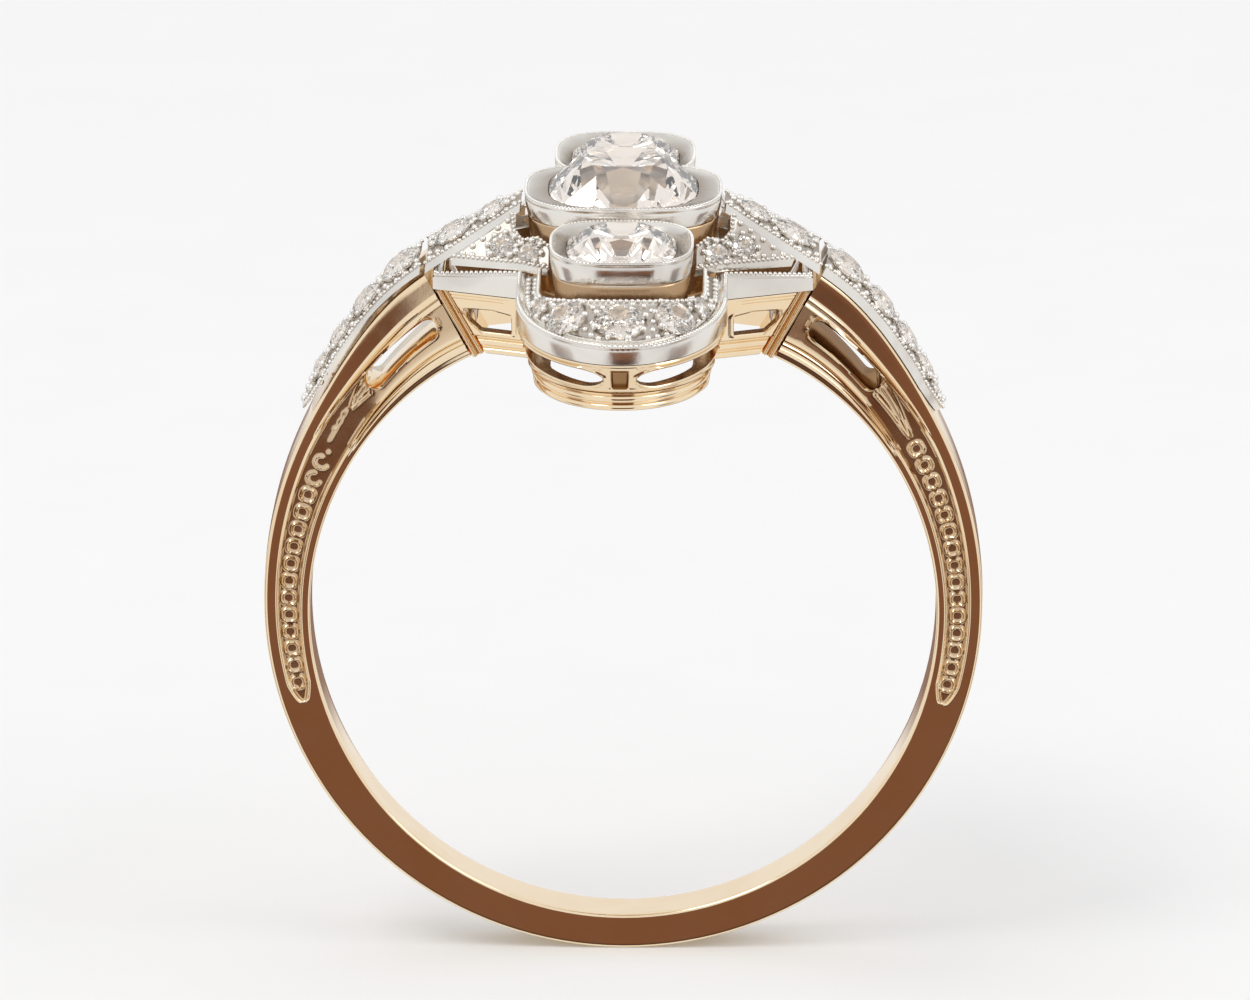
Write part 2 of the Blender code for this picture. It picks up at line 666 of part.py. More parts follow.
def make_collet(name, y, size, stone):
    """A tapering platinum tube with a bearing cut inside its rim for the stone's girdle."""
    rim, half = size["rim"], size["half"]
    opening = [side + GAP for side in stone["half"]]
    bore = [side * COLLET_TAPER - COLLET_WALL for side in half]
    seat = [side - SEAT_LEDGE for side in stone["half"]]
    lip = [side - COLLET_EDGE for side in half]
    bearing = rim - stone["sink"] - GAP
    rings = [
        cushion(half, 1.0, rim - COLLET_EDGE_DROP, y, COLLET_POINTS),
        cushion(half, COLLET_TAPER, COLLET_FOOT, y, COLLET_POINTS),
        cushion(bore, 1.0, COLLET_FOOT, y, COLLET_POINTS),
        cushion(seat, 1.0, bearing - SEAT_DEPTH, y, COLLET_POINTS),
        cushion(opening, 1.0, bearing, y, COLLET_POINTS),
        cushion(lip, 1.0, rim, y, COLLET_POINTS),
    ]
    loft(name, rings, PLATINUM, closed=True)


def make_main_stone(name, y, size, stone):
    """An old cushion-cut diamond with a high crown, small table and open culet."""
    girdle = size["rim"] - stone["sink"]
    half = stone["half"]
    rings = [
        cushion(half, CULET_RATIO, girdle - stone["pavilion"], y, STONE_POINTS),
        cushion(half, 1.0, girdle, y, STONE_POINTS),
        cushion(half, 1.0, girdle + GIRDLE, y, STONE_POINTS),
        cushion(half, TABLE_RATIO, size["rim"] + stone["crown"], y, STONE_POINTS),
    ]
    loft(name, rings, DIAMOND)


def main():
    clear_scene()
    make_shank()
    make_base_rail()
    make_rim()
    for side, word in ((-1, "left"), (1, "right")):
        make_shoulder_strip(side, word)
        make_head_strip(side, word)
        make_junction(side, word)
    for sign, word in ((-1, "front"), (1, "back")):
        make_basket(sign, word)
        make_lobe_plate(sign, word)
        make_collet(f"{word}_collet", sign * SIDE_COLLET["y"], SIDE_COLLET, SIDE_STONE)
        make_main_stone(f"{word}_diamond", sign * SIDE_COLLET["y"], SIDE_COLLET, SIDE_STONE)
        for side, hand in ((-1, "left"), (1, "right")):
            make_gallery_side(sign, side, f"{word}_{hand}")
            make_wing(sign, side, f"{word}_{hand}")
    make_collet("centre_collet", 0.0, CENTRE_COLLET, CENTRE_STONE)
    make_main_stone("centre_diamond", 0.0, CENTRE_COLLET, CENTRE_STONE)


main()
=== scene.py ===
"""Looks of the three-stone panel ring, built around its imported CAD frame.

Shapes are worked out in millimetres in the frame's axes (origin at the centre of the finger hole,
finger along Y, head at +Z) and become metres when a mesh is made. Each detailed piece stands for
the CAD node that it is named after.
"""

import math

import bmesh
import bpy
import numpy as np
from mathutils import Matrix, Vector


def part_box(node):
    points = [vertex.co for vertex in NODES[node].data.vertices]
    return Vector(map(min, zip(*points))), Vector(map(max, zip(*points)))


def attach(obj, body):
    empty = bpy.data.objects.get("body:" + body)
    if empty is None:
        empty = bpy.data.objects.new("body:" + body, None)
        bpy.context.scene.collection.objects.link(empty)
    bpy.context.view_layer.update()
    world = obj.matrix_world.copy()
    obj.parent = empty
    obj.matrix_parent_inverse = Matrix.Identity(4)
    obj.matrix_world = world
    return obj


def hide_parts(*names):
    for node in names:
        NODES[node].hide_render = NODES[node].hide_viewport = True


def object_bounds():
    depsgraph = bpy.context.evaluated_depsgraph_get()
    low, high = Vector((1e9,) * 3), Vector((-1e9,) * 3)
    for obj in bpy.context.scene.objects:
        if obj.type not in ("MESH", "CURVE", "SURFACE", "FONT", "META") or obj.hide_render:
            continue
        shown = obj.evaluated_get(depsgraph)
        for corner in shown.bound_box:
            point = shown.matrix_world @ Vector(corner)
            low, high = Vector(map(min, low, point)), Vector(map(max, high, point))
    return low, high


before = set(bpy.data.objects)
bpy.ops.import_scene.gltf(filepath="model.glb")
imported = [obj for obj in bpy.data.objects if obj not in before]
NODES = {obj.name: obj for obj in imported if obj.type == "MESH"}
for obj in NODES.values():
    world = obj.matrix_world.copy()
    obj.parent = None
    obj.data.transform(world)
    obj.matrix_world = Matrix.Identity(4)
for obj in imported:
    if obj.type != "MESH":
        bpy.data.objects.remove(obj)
CAD_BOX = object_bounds()

MM = 0.001


def high(node):
    return np.array(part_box(node)[1]) / MM


def low(node):
    return np.array(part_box(node)[0]) / MM


# Sizes read from the frame, in millimetres.
CORNER_X, LOBE_END = high("platinum_rim")[:2]
RIM_BASE = low("platinum_rim")[2]
RIM_TOP_NECK = high("platinum_rim")[2]
WALL_OVER_POST = 0.69  # foot of the gallery walls above the foot of the shoulder posts
WALL_BASE = low("left_junction_plate")[2] + WALL_OVER_POST
WALL_TOP = high("front_basket")[2]
BASE_FOOT = low("base_rail")[2]
BAND_LOW = -low("shank")[2]

# Band: angle from the top in degrees, outer radius, width.
BAND = (
    (28.0, 11.12, 2.62),
    (34.0, 10.93, 2.30),
    (40.0, 10.68, 2.06),
    (46.0, 10.43, 1.90),
    (53.0, 10.20, 1.80),
    (62.0, 10.02, 1.72),
    (75.0, 9.85, 1.66),
    (90.0, 9.74, 1.60),
    (120.0, 9.66, 1.50),
    (180.0, BAND_LOW, 1.40),
)
FINGER_RADIUS, FINGER_SAG = 8.50, 0.25
BAND_CROWN = 0.03
SHANK_START = 28.7
GAP = 0.02
EDGE_IN, EDGE_OUT = 0.08, 0.09  # rounded edges of the band, inside and outside

# Pierced slot in each shoulder, and the leaf engraved below it. Keys are left and right sides.
SLOT_FROM, SLOT_TO = 31.2, 46.4
SLOT_RADIUS_TOP, SLOT_RADIUS_LOW, SLOT_HALF = 9.74, 9.48, 0.24
SLOT_END_SHARE, SLOT_ROUND = 0.22, 1.7
# Painted shade on the slot's inner wall, on the right shoulder only.
SLOT_WALL_SHADE = {-1: 0.0, 1: 0.72}
LEAF_TIP, LEAF_HALF = {-1: 51.5, 1: 57.0}, 0.22
FIELD_JOIN = 48.5  # where the leaf's line starts to swing to the middle of the field

# Chain of engraved rings down each side of the band.
CHAIN_FROM, CHAIN_RINGS, CHAIN_TO = {-1: 68.5, 1: 59.1}, {-1: 12, 1: 15}, 103.0
RING_LINE, RING_LENGTH, RING_WIDTH, RING_POWER = 0.030, 0.205, 0.215, 2.6
FIELD_TOP, FIELD_FOOT = (0.93, 0.39), (0.62, 0.29)  # below and above the band's edges
FIELD_END, FIELD_DEPTH, FIELD_TILT = 106.5, 0.06, 0.12
OUTER_WIRES = ((0.27, 0.055), (0.15, -0.025))  # place between field and edge, and height
INNER_WIRES = ((0.32, 0.050), (0.64, 0.045), (0.19, -0.025), (0.48, -0.025))
LEAF_LINES = ((0.065, 1.0), (0.05, 0.38))  # height, and share of the leaf's half width
# Raised lines: height, distance from the edge or point that they follow, and width.
FIELD_LINE, SLOT_LINE, STEM_LINE = (0.050, 0.025, 0.028), (0.08, 0.055, 0.036), (0.045, 0.08, 0.034)
BERRY_DOT, HOOK_LINE = (0.055, 0.0, 0.042), (0.06, 0.17, 0.032)
BERRIES = ((52.9, 0.16), (54.4, 0.12), (55.9, 0.14), (60.0, -0.05))
HOOKS = (62.2, 65.4)

# Strips, rim and plates, as in the CAD.
STRIP_EDGE, STRIP_CROWN, STRIP_TIP, STRIP_TAPER_FROM = 0.17, 0.14, 56.5, 51.0
STRIP_THIN, STRIP_THINNING, STRIP_BEVEL, STRIP_POINT = 0.75, (49.0, 52.0), 0.07, 0.16
STRIP_GRID, HEAD_STRIP_GRID = (110, 27), (60, 25)  # rows and columns
HEAD_STRIP_LOW, HEAD_STRIP_HIGH = 5.27, 2.74
HEAD_STRIP_Z, HEAD_STRIP_RISE = 9.99, 0.595
HEAD_STRIP_HALF, HEAD_STRIP_FLARE, HEAD_STRIP_FULL_X = 0.70, 0.295, 2.90
LOBE_HALF, LOBE_CENTRE = 2.82, 4.20
CORNER_Y, NECK_X, NECK_Y = 1.50, 2.85, 2.35
RIM_THICK = 0.26
RIM_TOP_CORNER, RIM_TOP_END = 9.84, 9.90
WALL_THICK, WALL_INSET_TOP, WALL_INSET_BASE = 0.33, 0.05, 0.38
BASE_INSET, BASE_CORNER_X = 0.42, 3.66
LOBE_RISE = 0.42
JUNCTION_THICK, JUNCTION_ANGLE = 0.36, 28.5
JUNCTION_INNER, JUNCTION_OUTER, JUNCTION_HALF = 8.46, 10.55, 1.36
PLATE_THICK, PLATE_INSET, LOBE_PLATE_START = 0.22, 0.30, 2.66
PLATE_SAG = 0.05  # how far a lobe plate is dished
PLATE_CROWDING = 1.75  # brings its rows closer together at the corners
LOBE_OPEN_HALF, LOBE_OPEN_END, LOBE_OPEN_CENTRE, LOBE_OPEN_POWER = 2.15, 6.50, 4.23, 3.3
LOBE_OPEN_Z_SIDE, LOBE_OPEN_Z_END = 10.27, 10.62
WING_TIP, WING_RIDGE, WING_FOOT = (4.58, 1.31, 10.20), (2.88, 0.79, 11.32), (1.98, 2.44, 10.25)
WING_INNER = ((2.88, 0.79), (2.86, 1.20), (2.66, 1.50), (2.25, 1.58), (1.98, 1.86))
WING_OUTER = ((4.58, 1.31), (2.85, 2.01), (1.98, 2.44))
WING_ROWS = 64
WINDOW_LOW, WINDOW_HIGH = 8.66, 9.18
WINDOW_FROM, WINDOW_TO = 8.0, 80.0
# A collet's gold tube below its joint gets painted shade.
COLLET_TAPER, COLLET_TUBE_SHADE, CUSHION_POWER, TABLE_RATIO = 0.86, 0.75, 2.9, 0.52

# Photographic set-up: direction to the camera, its distance and its lens.
CAMERA_AIM = Vector((0.04, 0.0, 2.99)) * MM
CAMERA_AZIMUTH, CAMERA_ELEVATION = 0.7, 18.1
CAMERA_DISTANCE = 0.300
CAMERA_LENS = 318.6


# ---- meshes


class Shape:
    """Points in millimetres and faces, gathered piece by piece before they become one mesh."""

    def __init__(self):
        self.points, self.faces, self.looks, self.tones, self.count = [], [], [], [], 0

    def add(self, points, faces, look=0, tone=0.0):
        points = np.asarray(points, float).reshape(-1, 3)
        faces = np.asarray(faces, int) + self.count
        self.points.append(points)
        self.faces.extend(faces.tolist())
        self.looks.extend(np.broadcast_to(look, len(faces)).tolist())
        # Each point's tone is painted shade (with some tarnish on the band) for the metals to darken
        # with.
        self.tones.append(np.broadcast_to(np.asarray(tone, float).ravel(), (len(points),)))
        self.count += len(points)

    def sweep(self, sections, look=0, closed=True, tone=0.0):
        """Joins sections, which are loops of points, into a tube; an open one gets caps. look
        numbers the material, once or for each face."""
        grid = np.asarray(sections, float)
        index = np.arange(grid.shape[0] * grid.shape[1]).reshape(grid.shape[:2])
        ahead = np.roll(index, -1, 0) if closed else index[1:]
        here = index if closed else index[:-1]
        quads = np.stack([here, np.roll(here, -1, 1), np.roll(ahead, -1, 1), ahead], -1)
        start = self.count
        self.add(grid, quads.reshape(-1, 4), look, tone)
        if not closed:
            self.faces.append((index[0][::-1] + start).tolist())
            self.faces.append((index[-1] + start).tolist())
            self.looks.extend([look, look])

    def sheet(self, front, back, holes=(), tone=0.0, back_shade=None):
        """Two facing grids joined round their borders and round each hole (rows, columns)."""
        front, back = np.asarray(front, float), np.asarray(back, float)
        rows, columns = front.shape[:2]
        kept = np.ones((rows - 1, columns - 1), bool)
        for row0, row1, column0, column1 in holes:
            kept[row0:row1, column0:column1] = False
        a = np.arange(rows * columns).reshape(rows, columns)
        b = a + rows * columns
        cells = np.argwhere(kept)
        i, j = cells[:, 0], cells[:, 1]
        faces = [
            np.stack([a[i, j], a[i, j + 1], a[i + 1, j + 1], a[i + 1, j]], 1),
            np.stack([b[i, j], b[i + 1, j], b[i + 1, j + 1], b[i, j + 1]], 1),
        ]
        framed = np.pad(kept, 1)
        for di, dj, start, end in (
            (-1, 0, (0, 0), (0, 1)),
            (1, 0, (1, 1), (1, 0)),
            (0, -1, (1, 0), (0, 0)),
            (0, 1, (0, 1), (1, 1)),
        ):
            rim = ~framed[i + 1 + di, j + 1 + dj]
            p = (i[rim] + start[0], j[rim] + start[1])
            q = (i[rim] + end[0], j[rim] + end[1])
            faces.append(np.stack([a[q], a[p], b[p], b[q]], 1))
        tones = np.broadcast_to(np.asarray(tone, float), (rows, columns)).ravel()
        points = np.concatenate([front.reshape(-1, 3), back.reshape(-1, 3)])
        # Painted shade behind: an even value over the back grid if one is given.
        behind = tones if back_shade is None else np.full(len(tones), back_shade)
        self.add(points, np.concatenate(faces), tone=np.concatenate([tones, behind]))

    def beads(self, centres, radius):
        """Small round grains, one at each centre."""
        ball, faces = BEAD
        centres = np.asarray(centres, float).reshape(-1, 3)
        radii = np.broadcast_to(np.asarray(radius, float), (len(centres),))
        for centre, size in zip(centres, radii):
            self.add(centre + ball * size, faces)

    def make(self, name, node, *slots, sharp=38, weld=False):
        """The finished piece, which stands for a CAD node. The first slot is the piece's own."""
        points = np.concatenate(self.points)
        tones = np.concatenate(self.tones)
        used = np.unique(np.concatenate([np.asarray(face) for face in self.faces]))
        renumber = np.full(len(points), -1)
        renumber[used] = np.arange(len(used))
        mesh = bpy.data.meshes.new(name)
        faces = [renumber[face].tolist() for face in self.faces]
        mesh.from_pydata((points[used] * MM).tolist(), [], faces)
        for slot in slots:
            mesh.materials.append(LOOKS[slot])
        mesh.polygons.foreach_set("material_index", self.looks)
        # The point tones go to the materials as their painted shade attribute.
        mesh.attributes.new("shade_and_tarnish", "FLOAT", "POINT").data.foreach_set(
            "value", tones[used].astype(np.float32)
        )
        body = bmesh.new()
        body.from_mesh(mesh)
        if weld:
            bmesh.ops.remove_doubles(body, verts=body.verts, dist=WELD)
        bmesh.ops.recalc_face_normals(body, faces=body.faces)
        body.to_mesh(mesh)
        body.free()
        mesh.shade_smooth()
        mesh.set_sharp_from_angle(angle=math.radians(sharp))
        place(name, mesh, node, slots[0])


WELD = 2e-7


def place(name, mesh, node, slot):
    piece = bpy.data.objects.new(name, mesh)
    bpy.context.scene.collection.objects.link(piece)
    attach(piece, "root")
    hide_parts(node)


def bead_ball():
    ball = bmesh.new()
    bmesh.ops.create_icosphere(ball, subdivisions=2, radius=1.0)
    points = np.array([vertex.co[:] for vertex in ball.verts])
    faces = np.array([[vertex.index for vertex in face.verts] for face in ball.faces])
    ball.free()
    return points, faces


BEAD = bead_ball()


def blend(start, end, share):
    return start + (end - start) * share


def step(value, start, end):
    """0 before start, 1 after end, smooth between them."""
    t = np.clip((value - start) / (end - start), 0.0, 1.0)
    return t * t * (3 - 2 * t)


def ridge(distance, width):
    """A soft raised line of unit height, at distance 0."""
    return np.exp(-((distance / width) ** 2))


def raised(distance, height, place_at, width):
    """A raised line whose crest lies at a set distance from what it follows."""
    return height * ridge(distance - place_at, width)


def superellipse(x, y, power):
    """Distance measure whose unit line is a rectangle with round corners and bowed sides."""
    return (np.abs(x) ** power + np.abs(y) ** power) ** (1 / power)


def chain(*stretches):
    """Numbers evenly spaced over stretches (start, end, how many steps) that follow each other."""
    parts = [np.linspace(start, end, steps + 1)[:-1] for start, end, steps in stretches]
    return np.concatenate([*parts, [stretches[-1][1]]])


def along_path(points, pitch, closed=False):
    """Points at an even pitch along a polyline."""
    points = np.asarray(points, float)
    if closed:
        points = np.concatenate([points, points[:1]])
    lengths = np.concatenate([[0], np.cumsum(np.linalg.norm(np.diff(points, axis=0), axis=1))])
    count = max(2, int(round(lengths[-1] / pitch)))
    at = np.linspace(0, lengths[-1], count, endpoint=not closed)
    return np.stack([np.interp(at, lengths, points[:, k]) for k in range(3)], 1)


# ---- materials


class Tree:
    """The node tree of a material or a world, with short ways to add and join nodes."""

    def __init__(self, owner, shader):
        owner.use_nodes = True
        self.nodes, self.links = owner.node_tree.nodes, owner.node_tree.links
        self.shader = self.nodes[shader]

    def feed(self, socket, value):
        """Joins a node's output to a socket, or sets the socket to a number or a colour."""
        if isinstance(value, bpy.types.NodeSocket):
            self.links.new(value, socket)
        elif socket.type == "RGBA":
            socket.default_value = (*value, 1)
        else:
            socket.default_value = value

    def node(self, kind, inputs, **settings):
        made = self.nodes.new("ShaderNode" + kind)
        for name, value in settings.items():
            setattr(made, name, value)
        for socket, value in inputs.items():
            self.feed(made.inputs[socket], value)
        return made

    def where(self, kind):
        return self.node("TexCoord", {}).outputs[kind]

    def math(self, operation, *values):
        return self.node("Math", dict(enumerate(values)), operation=operation).outputs[0]

    def mix(self, factor, a, b):
        return self.node("Mix", {"Factor": factor, 6: a, 7: b}, data_type="RGBA").outputs[2]

    def set(self, socket, value):
        self.feed(self.shader.inputs[socket], value)


class Look(Tree):
    """A procedural material."""

    def __init__(self, name):
        self.material = bpy.data.materials.new(name)
        super().__init__(self.material, "Principled BSDF")
        self.place = self.where("Object")

    def stretched(self, scale):
        return self.node("Mapping", {"Scale": scale, "Vector": self.place}).outputs["Vector"]

    def noise(self, scale, detail=3.0, vector=None, distortion=0.0):
        inputs = {"Scale": scale, "Detail": detail, "Distortion": distortion}
        inputs["Vector"] = vector or self.place
        return self.node("TexNoise", inputs).outputs["Fac"]

    def ramp(self, value, *stops):
        ramp = self.node("ValToRGB", {"Fac": value})
        elements = ramp.color_ramp.elements
        for element, (position, colour) in zip(elements, (stops[0], stops[-1])):
            element.position, element.color = position, (*colour, 1)
        for position, colour in stops[1:-1]:
            elements.new(position).color = (*colour, 1)
        return ramp.outputs["Color"]

    def span(self, value, low_end, high_end, start=0.3, end=0.7):
        """Maps a value's start..end to low_end..high_end."""
        inputs = {"Value": value, "From Min": start, "From Max": end}
        inputs.update({"To Min": low_end, "To Max": high_end})
        return self.node("MapRange", inputs).outputs["Result"]

    def attribute(self, name):
        return self.node("Attribute", {}, attribute_name=name).outputs["Fac"]

    def bump(self, height, strength, distance, normal=None):
        inputs = {"Strength": strength, "Distance": distance, "Height": height}
        if normal:
            inputs["Normal"] = normal
        return self.node("Bump", inputs).outputs["Normal"]


def metal(name, light, deep, shade_and_tarnish_colour, roughness, scratch, dent):
    """Polished, worn metal: drifting colour, fine scratches, small dents and painted shade in hollows.
    """
    tree = Look(name)
    drift = tree.noise(420.0, 2.0, distortion=0.6)
    colour = tree.ramp(drift, (0.30, deep), (0.55, light), (0.75, light))
    # Painted shade, with some tarnish on the band, darkens and browns the colour and the reflections.
    shade_and_tarnish = tree.attribute("shade_and_tarnish")
    tree.set("Base Color", tree.mix(shade_and_tarnish, colour, shade_and_tarnish_colour))
    tree.set("Metallic", 1.0)
    tree.set("Specular Tint", tree.mix(shade_and_tarnish, (1.0, 1.0, 1.0), shade_and_tarnish_colour))
    smears = tree.span(tree.noise(1500.0, 4.0), *roughness)
    tree.set("Roughness", tree.math("ADD", smears, tree.math("MULTIPLY", shade_and_tarnish, 0.22)))
    lines = tree.noise(1.0, 5.0, tree.stretched((2200.0, 3000.0, 16000.0)))
    cross = tree.noise(1.0, 4.0, tree.stretched((15000.0, 2600.0, 2400.0)))
    dents = tree.noise(3600.0, 2.0)
    normal = tree.bump(lines, scratch, 2.5e-6)
    normal = tree.bump(cross, scratch * 0.7, 2.5e-6, normal)
    tree.set("Normal", tree.bump(dents, dent, 6e-6, normal))
    return tree.material


def diamond_look(name, clear, warm):
    """Cut diamond: clear, with a faint warm body tint and slightly worn facets."""
    tree = Look(name)
    tint = tree.noise(900.0, 2.0)
    tree.set("Base Color", tree.ramp(tint, (0.35, clear), (0.70, warm)))
    tree.set("Transmission Weight", 1.0)
    tree.set("IOR", 2.417)
    tree.set("Roughness", tree.span(tree.noise(5200.0, 3.0), 0.0, 0.012, 0.55, 0.75))
    return tree.material


LOOKS = {
    "gold": metal(
        "gold", (0.94, 0.77, 0.54), (0.91, 0.71, 0.47), (0.36, 0.20, 0.09), (0.06, 0.15),
        0.10, 0.16,
    ),
    "platinum": metal(
        "platinum", (0.87, 0.84, 0.79), (0.70, 0.665, 0.615), (0.34, 0.28, 0.22), (0.12, 0.27),
        0.42, 0.68,
    ),
}
DIAMOND = diamond_look("diamond", (0.975, 0.90, 0.82), (0.95, 0.83, 0.71))
SMALL_DIAMOND = diamond_look("small_diamond", (0.97, 0.92, 0.86), (0.93, 0.83, 0.73))


# ---- band


def band_value(degrees, column):
    """Reads the band's table at any angle, with a Catmull-Rom curve through its rows."""
    at = abs(degrees)
    last = len(BAND) - 1
    i = max(k for k in range(last) if BAND[k][0] <= max(at, BAND[0][0]))
    start, end = BAND[i], BAND[i + 1]
    before, after = BAND[max(i - 1, 0)], BAND[min(i + 2, last)]
    span = end[0] - start[0]
    t = (at - start[0]) / span
    slope_start = (end[column] - before[column]) / (end[0] - before[0]) * span
    slope_end = (after[column] - start[column]) / (after[0] - start[0]) * span
    if i + 1 == last:
        slope_end = 0.0
    return (
        (2 * t**3 - 3 * t**2 + 1) * start[column]
        + (t**3 - 2 * t**2 + t) * slope_start
        + (3 * t**2 - 2 * t**3) * end[column]
        + (t**3 - t**2) * slope_end
    )


def band_radius(degrees):
    return band_value(degrees, 1)


def band_half(degrees):
    return band_value(degrees, 2) / 2


def finger_radius(degrees):
    return FINGER_RADIUS + FINGER_SAG * max(0.0, -math.cos(math.radians(degrees))) ** 2


def polar(radius, degrees, y):
    angle = np.radians(degrees)
    return np.stack(np.broadcast_arrays(radius * np.sin(angle), y, radius * np.cos(angle)), -1)


def slot_middle(degrees):
    along = (degrees - SLOT_FROM) / (SLOT_TO - SLOT_FROM)
    return blend(SLOT_RADIUS_TOP, SLOT_RADIUS_LOW, along)


def slot_track(degrees, middle):
    """Radius of the line that runs down the slot and the leaf, then down the field's middle."""
    joined = step(degrees, FIELD_JOIN, 60.0)
    return slot_middle(degrees) * (1 - joined) + middle * joined


def slot_half(degrees):
    near_end = np.clip(np.minimum(degrees - SLOT_FROM, SLOT_TO - degrees) / SLOT_ROUND, 0, 1)
    return SLOT_HALF * np.clip(np.sqrt(1 - (1 - near_end) ** 2), SLOT_END_SHARE, 1.0)


def leaf_half(degrees, side):
    """Half width of the curled leaf, which starts at the slot and narrows to its tip."""
    share = np.clip((LEAF_TIP[side] - degrees) / (LEAF_TIP[side] - SLOT_TO), 0.0, 1.0)
    return LEAF_HALF * np.sqrt(share) * share**0.3


def field(degrees, inner, outer):
    """Middle radius and half height of the sunk field on the band's side, before its round end."""
    narrow = step(degrees, 30.0, 62.0)
    top, foot = outer - blend(*FIELD_TOP, narrow), inner + blend(*FIELD_FOOT, narrow)
    return (top + foot) / 2, (top - foot) / 2


def side_relief(degrees, radius, inner, outer, side):
    """How far the band's side stands out at each point, and how much painted shade, with some tarnish,
    darkens it.
    """
    middle, half = field(degrees, inner, outer)
    half = half * np.sqrt(np.clip((FIELD_END - degrees) / (FIELD_END - CHAIN_TO), 0.0, 1.0))
    shoulder = 1.0 - step(degrees, 53.0, 60.0)
    arc = np.radians(1.0) * radius
    off = np.abs(radius - middle)
    live = step(half, 0.0, 0.08)
    sunk = step(half - off, 0.0, 0.05) * live
    tilt = FIELD_TILT * (radius - middle) * (1.0 - step(degrees, 45.0, 50.0))
    relief = -FIELD_DEPTH * sunk - tilt * sunk
    relief = relief + raised(off - half, *FIELD_LINE) * live
    above = (radius - middle - half) / (outer - EDGE_OUT - middle - half)
    below = (middle - half - radius) / (middle - half - inner - EDGE_IN)
    for share, wires, width in ((above, OUTER_WIRES, 0.045), (below, INNER_WIRES, 0.075)):
        for at, height in wires:
            relief = relief + shoulder * height * ridge(share - at, width)

    # Raised rim round the slot, and the curled leaf that runs on below it.
    across = radius - slot_track(degrees, middle)
    beyond = np.maximum(np.maximum(SLOT_FROM - degrees, degrees - SLOT_TO), 0.0) * arc
    rim = np.hypot(beyond, np.maximum(np.abs(across) - slot_half(degrees), 0.0))
    relief = relief + raised(rim, *SLOT_LINE)
    tip = LEAF_TIP[side]
    in_leaf = (degrees > SLOT_TO + 0.4) & (degrees < tip)
    for height, part in LEAF_LINES:
        line = np.abs(across) - leaf_half(degrees, side) * part
        relief = relief + height * ridge(line, 0.036) * in_leaf

    # On the left, a stem, berries and two hooks stand between the leaf and the shorter chain.
    if side < 0:
        stem = step(degrees, tip, tip + 0.8) * (1.0 - step(degrees, 58.0, 58.6))
        relief = relief + raised(across, *STEM_LINE) * stem
        for berry, up in BERRIES:
            spot = np.hypot((degrees - berry) * arc, radius - middle - up)
            relief = relief + raised(spot, *BERRY_DOT)
        for hook in HOOKS:
            reach = np.hypot((degrees - hook) * arc, (radius - middle) * 0.9)
            open_ring = (radius > middle) | (degrees > hook)
            relief = relief + raised(reach, *HOOK_LINE) * open_ring

    # Chain of rounded links: wire outlines round flat, sunk middles.
    start, rings = CHAIN_FROM[side], CHAIN_RINGS[side]
    pitch = (CHAIN_TO - start) / (rings - 1)
    number = np.clip(np.round((degrees - start) / pitch), 0, rings - 1)
    drift = 0.06 * np.sin(number * 12.9898)
    along = (degrees - start - (number + drift) * pitch) * arc
    aside = radius - middle - 0.012 * np.sin(number * 5.3)
    reach = superellipse(along / RING_LENGTH, aside / RING_WIDTH, RING_POWER)
    in_chain = (degrees > start - pitch / 2) * (half > 0.02)
    relief = relief + 0.085 * ridge((reach - 0.86) * RING_LENGTH, RING_LINE) * in_chain
    # Painted shade, with some tarnish, darkens the sunk field below its raised lines; the slot's wall
    # gets painted shade.
    shade_and_tarnish = np.clip(sunk * (0.03 - relief) / 0.14, 0.0, 0.5)
    return relief, np.where(rim < 0.005, SLOT_WALL_SHADE[side], shade_and_tarnish)


START_ROWS, SLOT_ROWS = 8, 48  # rows above the slot, and along it
BAND_ROWS = (SLOT_TO, 57.0, 39), (57.0, 107.0, 205), (107.0, 180.0, 29)  # rows below the slot
SLOT_CLOSED = 1.2  # degrees past a slot's end over which its grid lines open out again
# Grid lines of the side at its inner bevel, inner rails, field's foot, slot's two edges, field's
# top, wires and outer bevel.
SIDE_STOPS = (0, 3, 15, 23, 36, 43, 52, 56)
BORE_COLUMNS = 7  # columns of the section before its side
SLOT_COLUMNS = [BORE_COLUMNS + column for column in SIDE_STOPS[3:5]]


def side_radii(degrees, side, inner, outer):
    """Radii of the side's grid lines, which follow the borders of the field, slot and leaf."""
    lower, upper = inner + EDGE_IN, outer - EDGE_OUT
    middle, half = field(degrees, inner, outer)
    foot, top = middle - half, middle + half
    beyond = max(SLOT_FROM - degrees, degrees - SLOT_TO, 0.0)
    track = slot_track(degrees, middle)
    opened = step(beyond, 0.0, SLOT_CLOSED)
    tip = LEAF_TIP[side]
    past_leaf = 1.0 if degrees < SLOT_FROM else step(degrees, tip - 2.0, tip + 1.0)
    wide = leaf_half(degrees, side) * (1 - past_leaf) + min(SLOT_HALF, half * 0.6) * past_leaf
    reach = slot_half(degrees) * (1 - opened) + wide * opened
    rails, wires = foot - 0.78 * (foot - lower), top + 0.42 * (upper - top)
    stops = (lower, rails, foot, track - reach, track + reach, top, wires, upper)
    return np.interp(np.arange(SIDE_STOPS[-1] + 1), SIDE_STOPS, stops)


def slot_angles():
    """Rows along the slot, closer together at its round ends."""
    even = np.linspace(-1, 1, SLOT_ROWS + 1)
    close = np.sign(even) * (1 - (1 - np.abs(even)) ** 1.35)
    return (SLOT_FROM + SLOT_TO) / 2 + close * (SLOT_TO - SLOT_FROM) / 2


def shank_rows():
    """Angles of the band's sections on one side."""
    above = chain((SHANK_START, SLOT_FROM, START_ROWS))[:-1]
    return np.concatenate([above, slot_angles()[:-1], chain(*BAND_ROWS)])


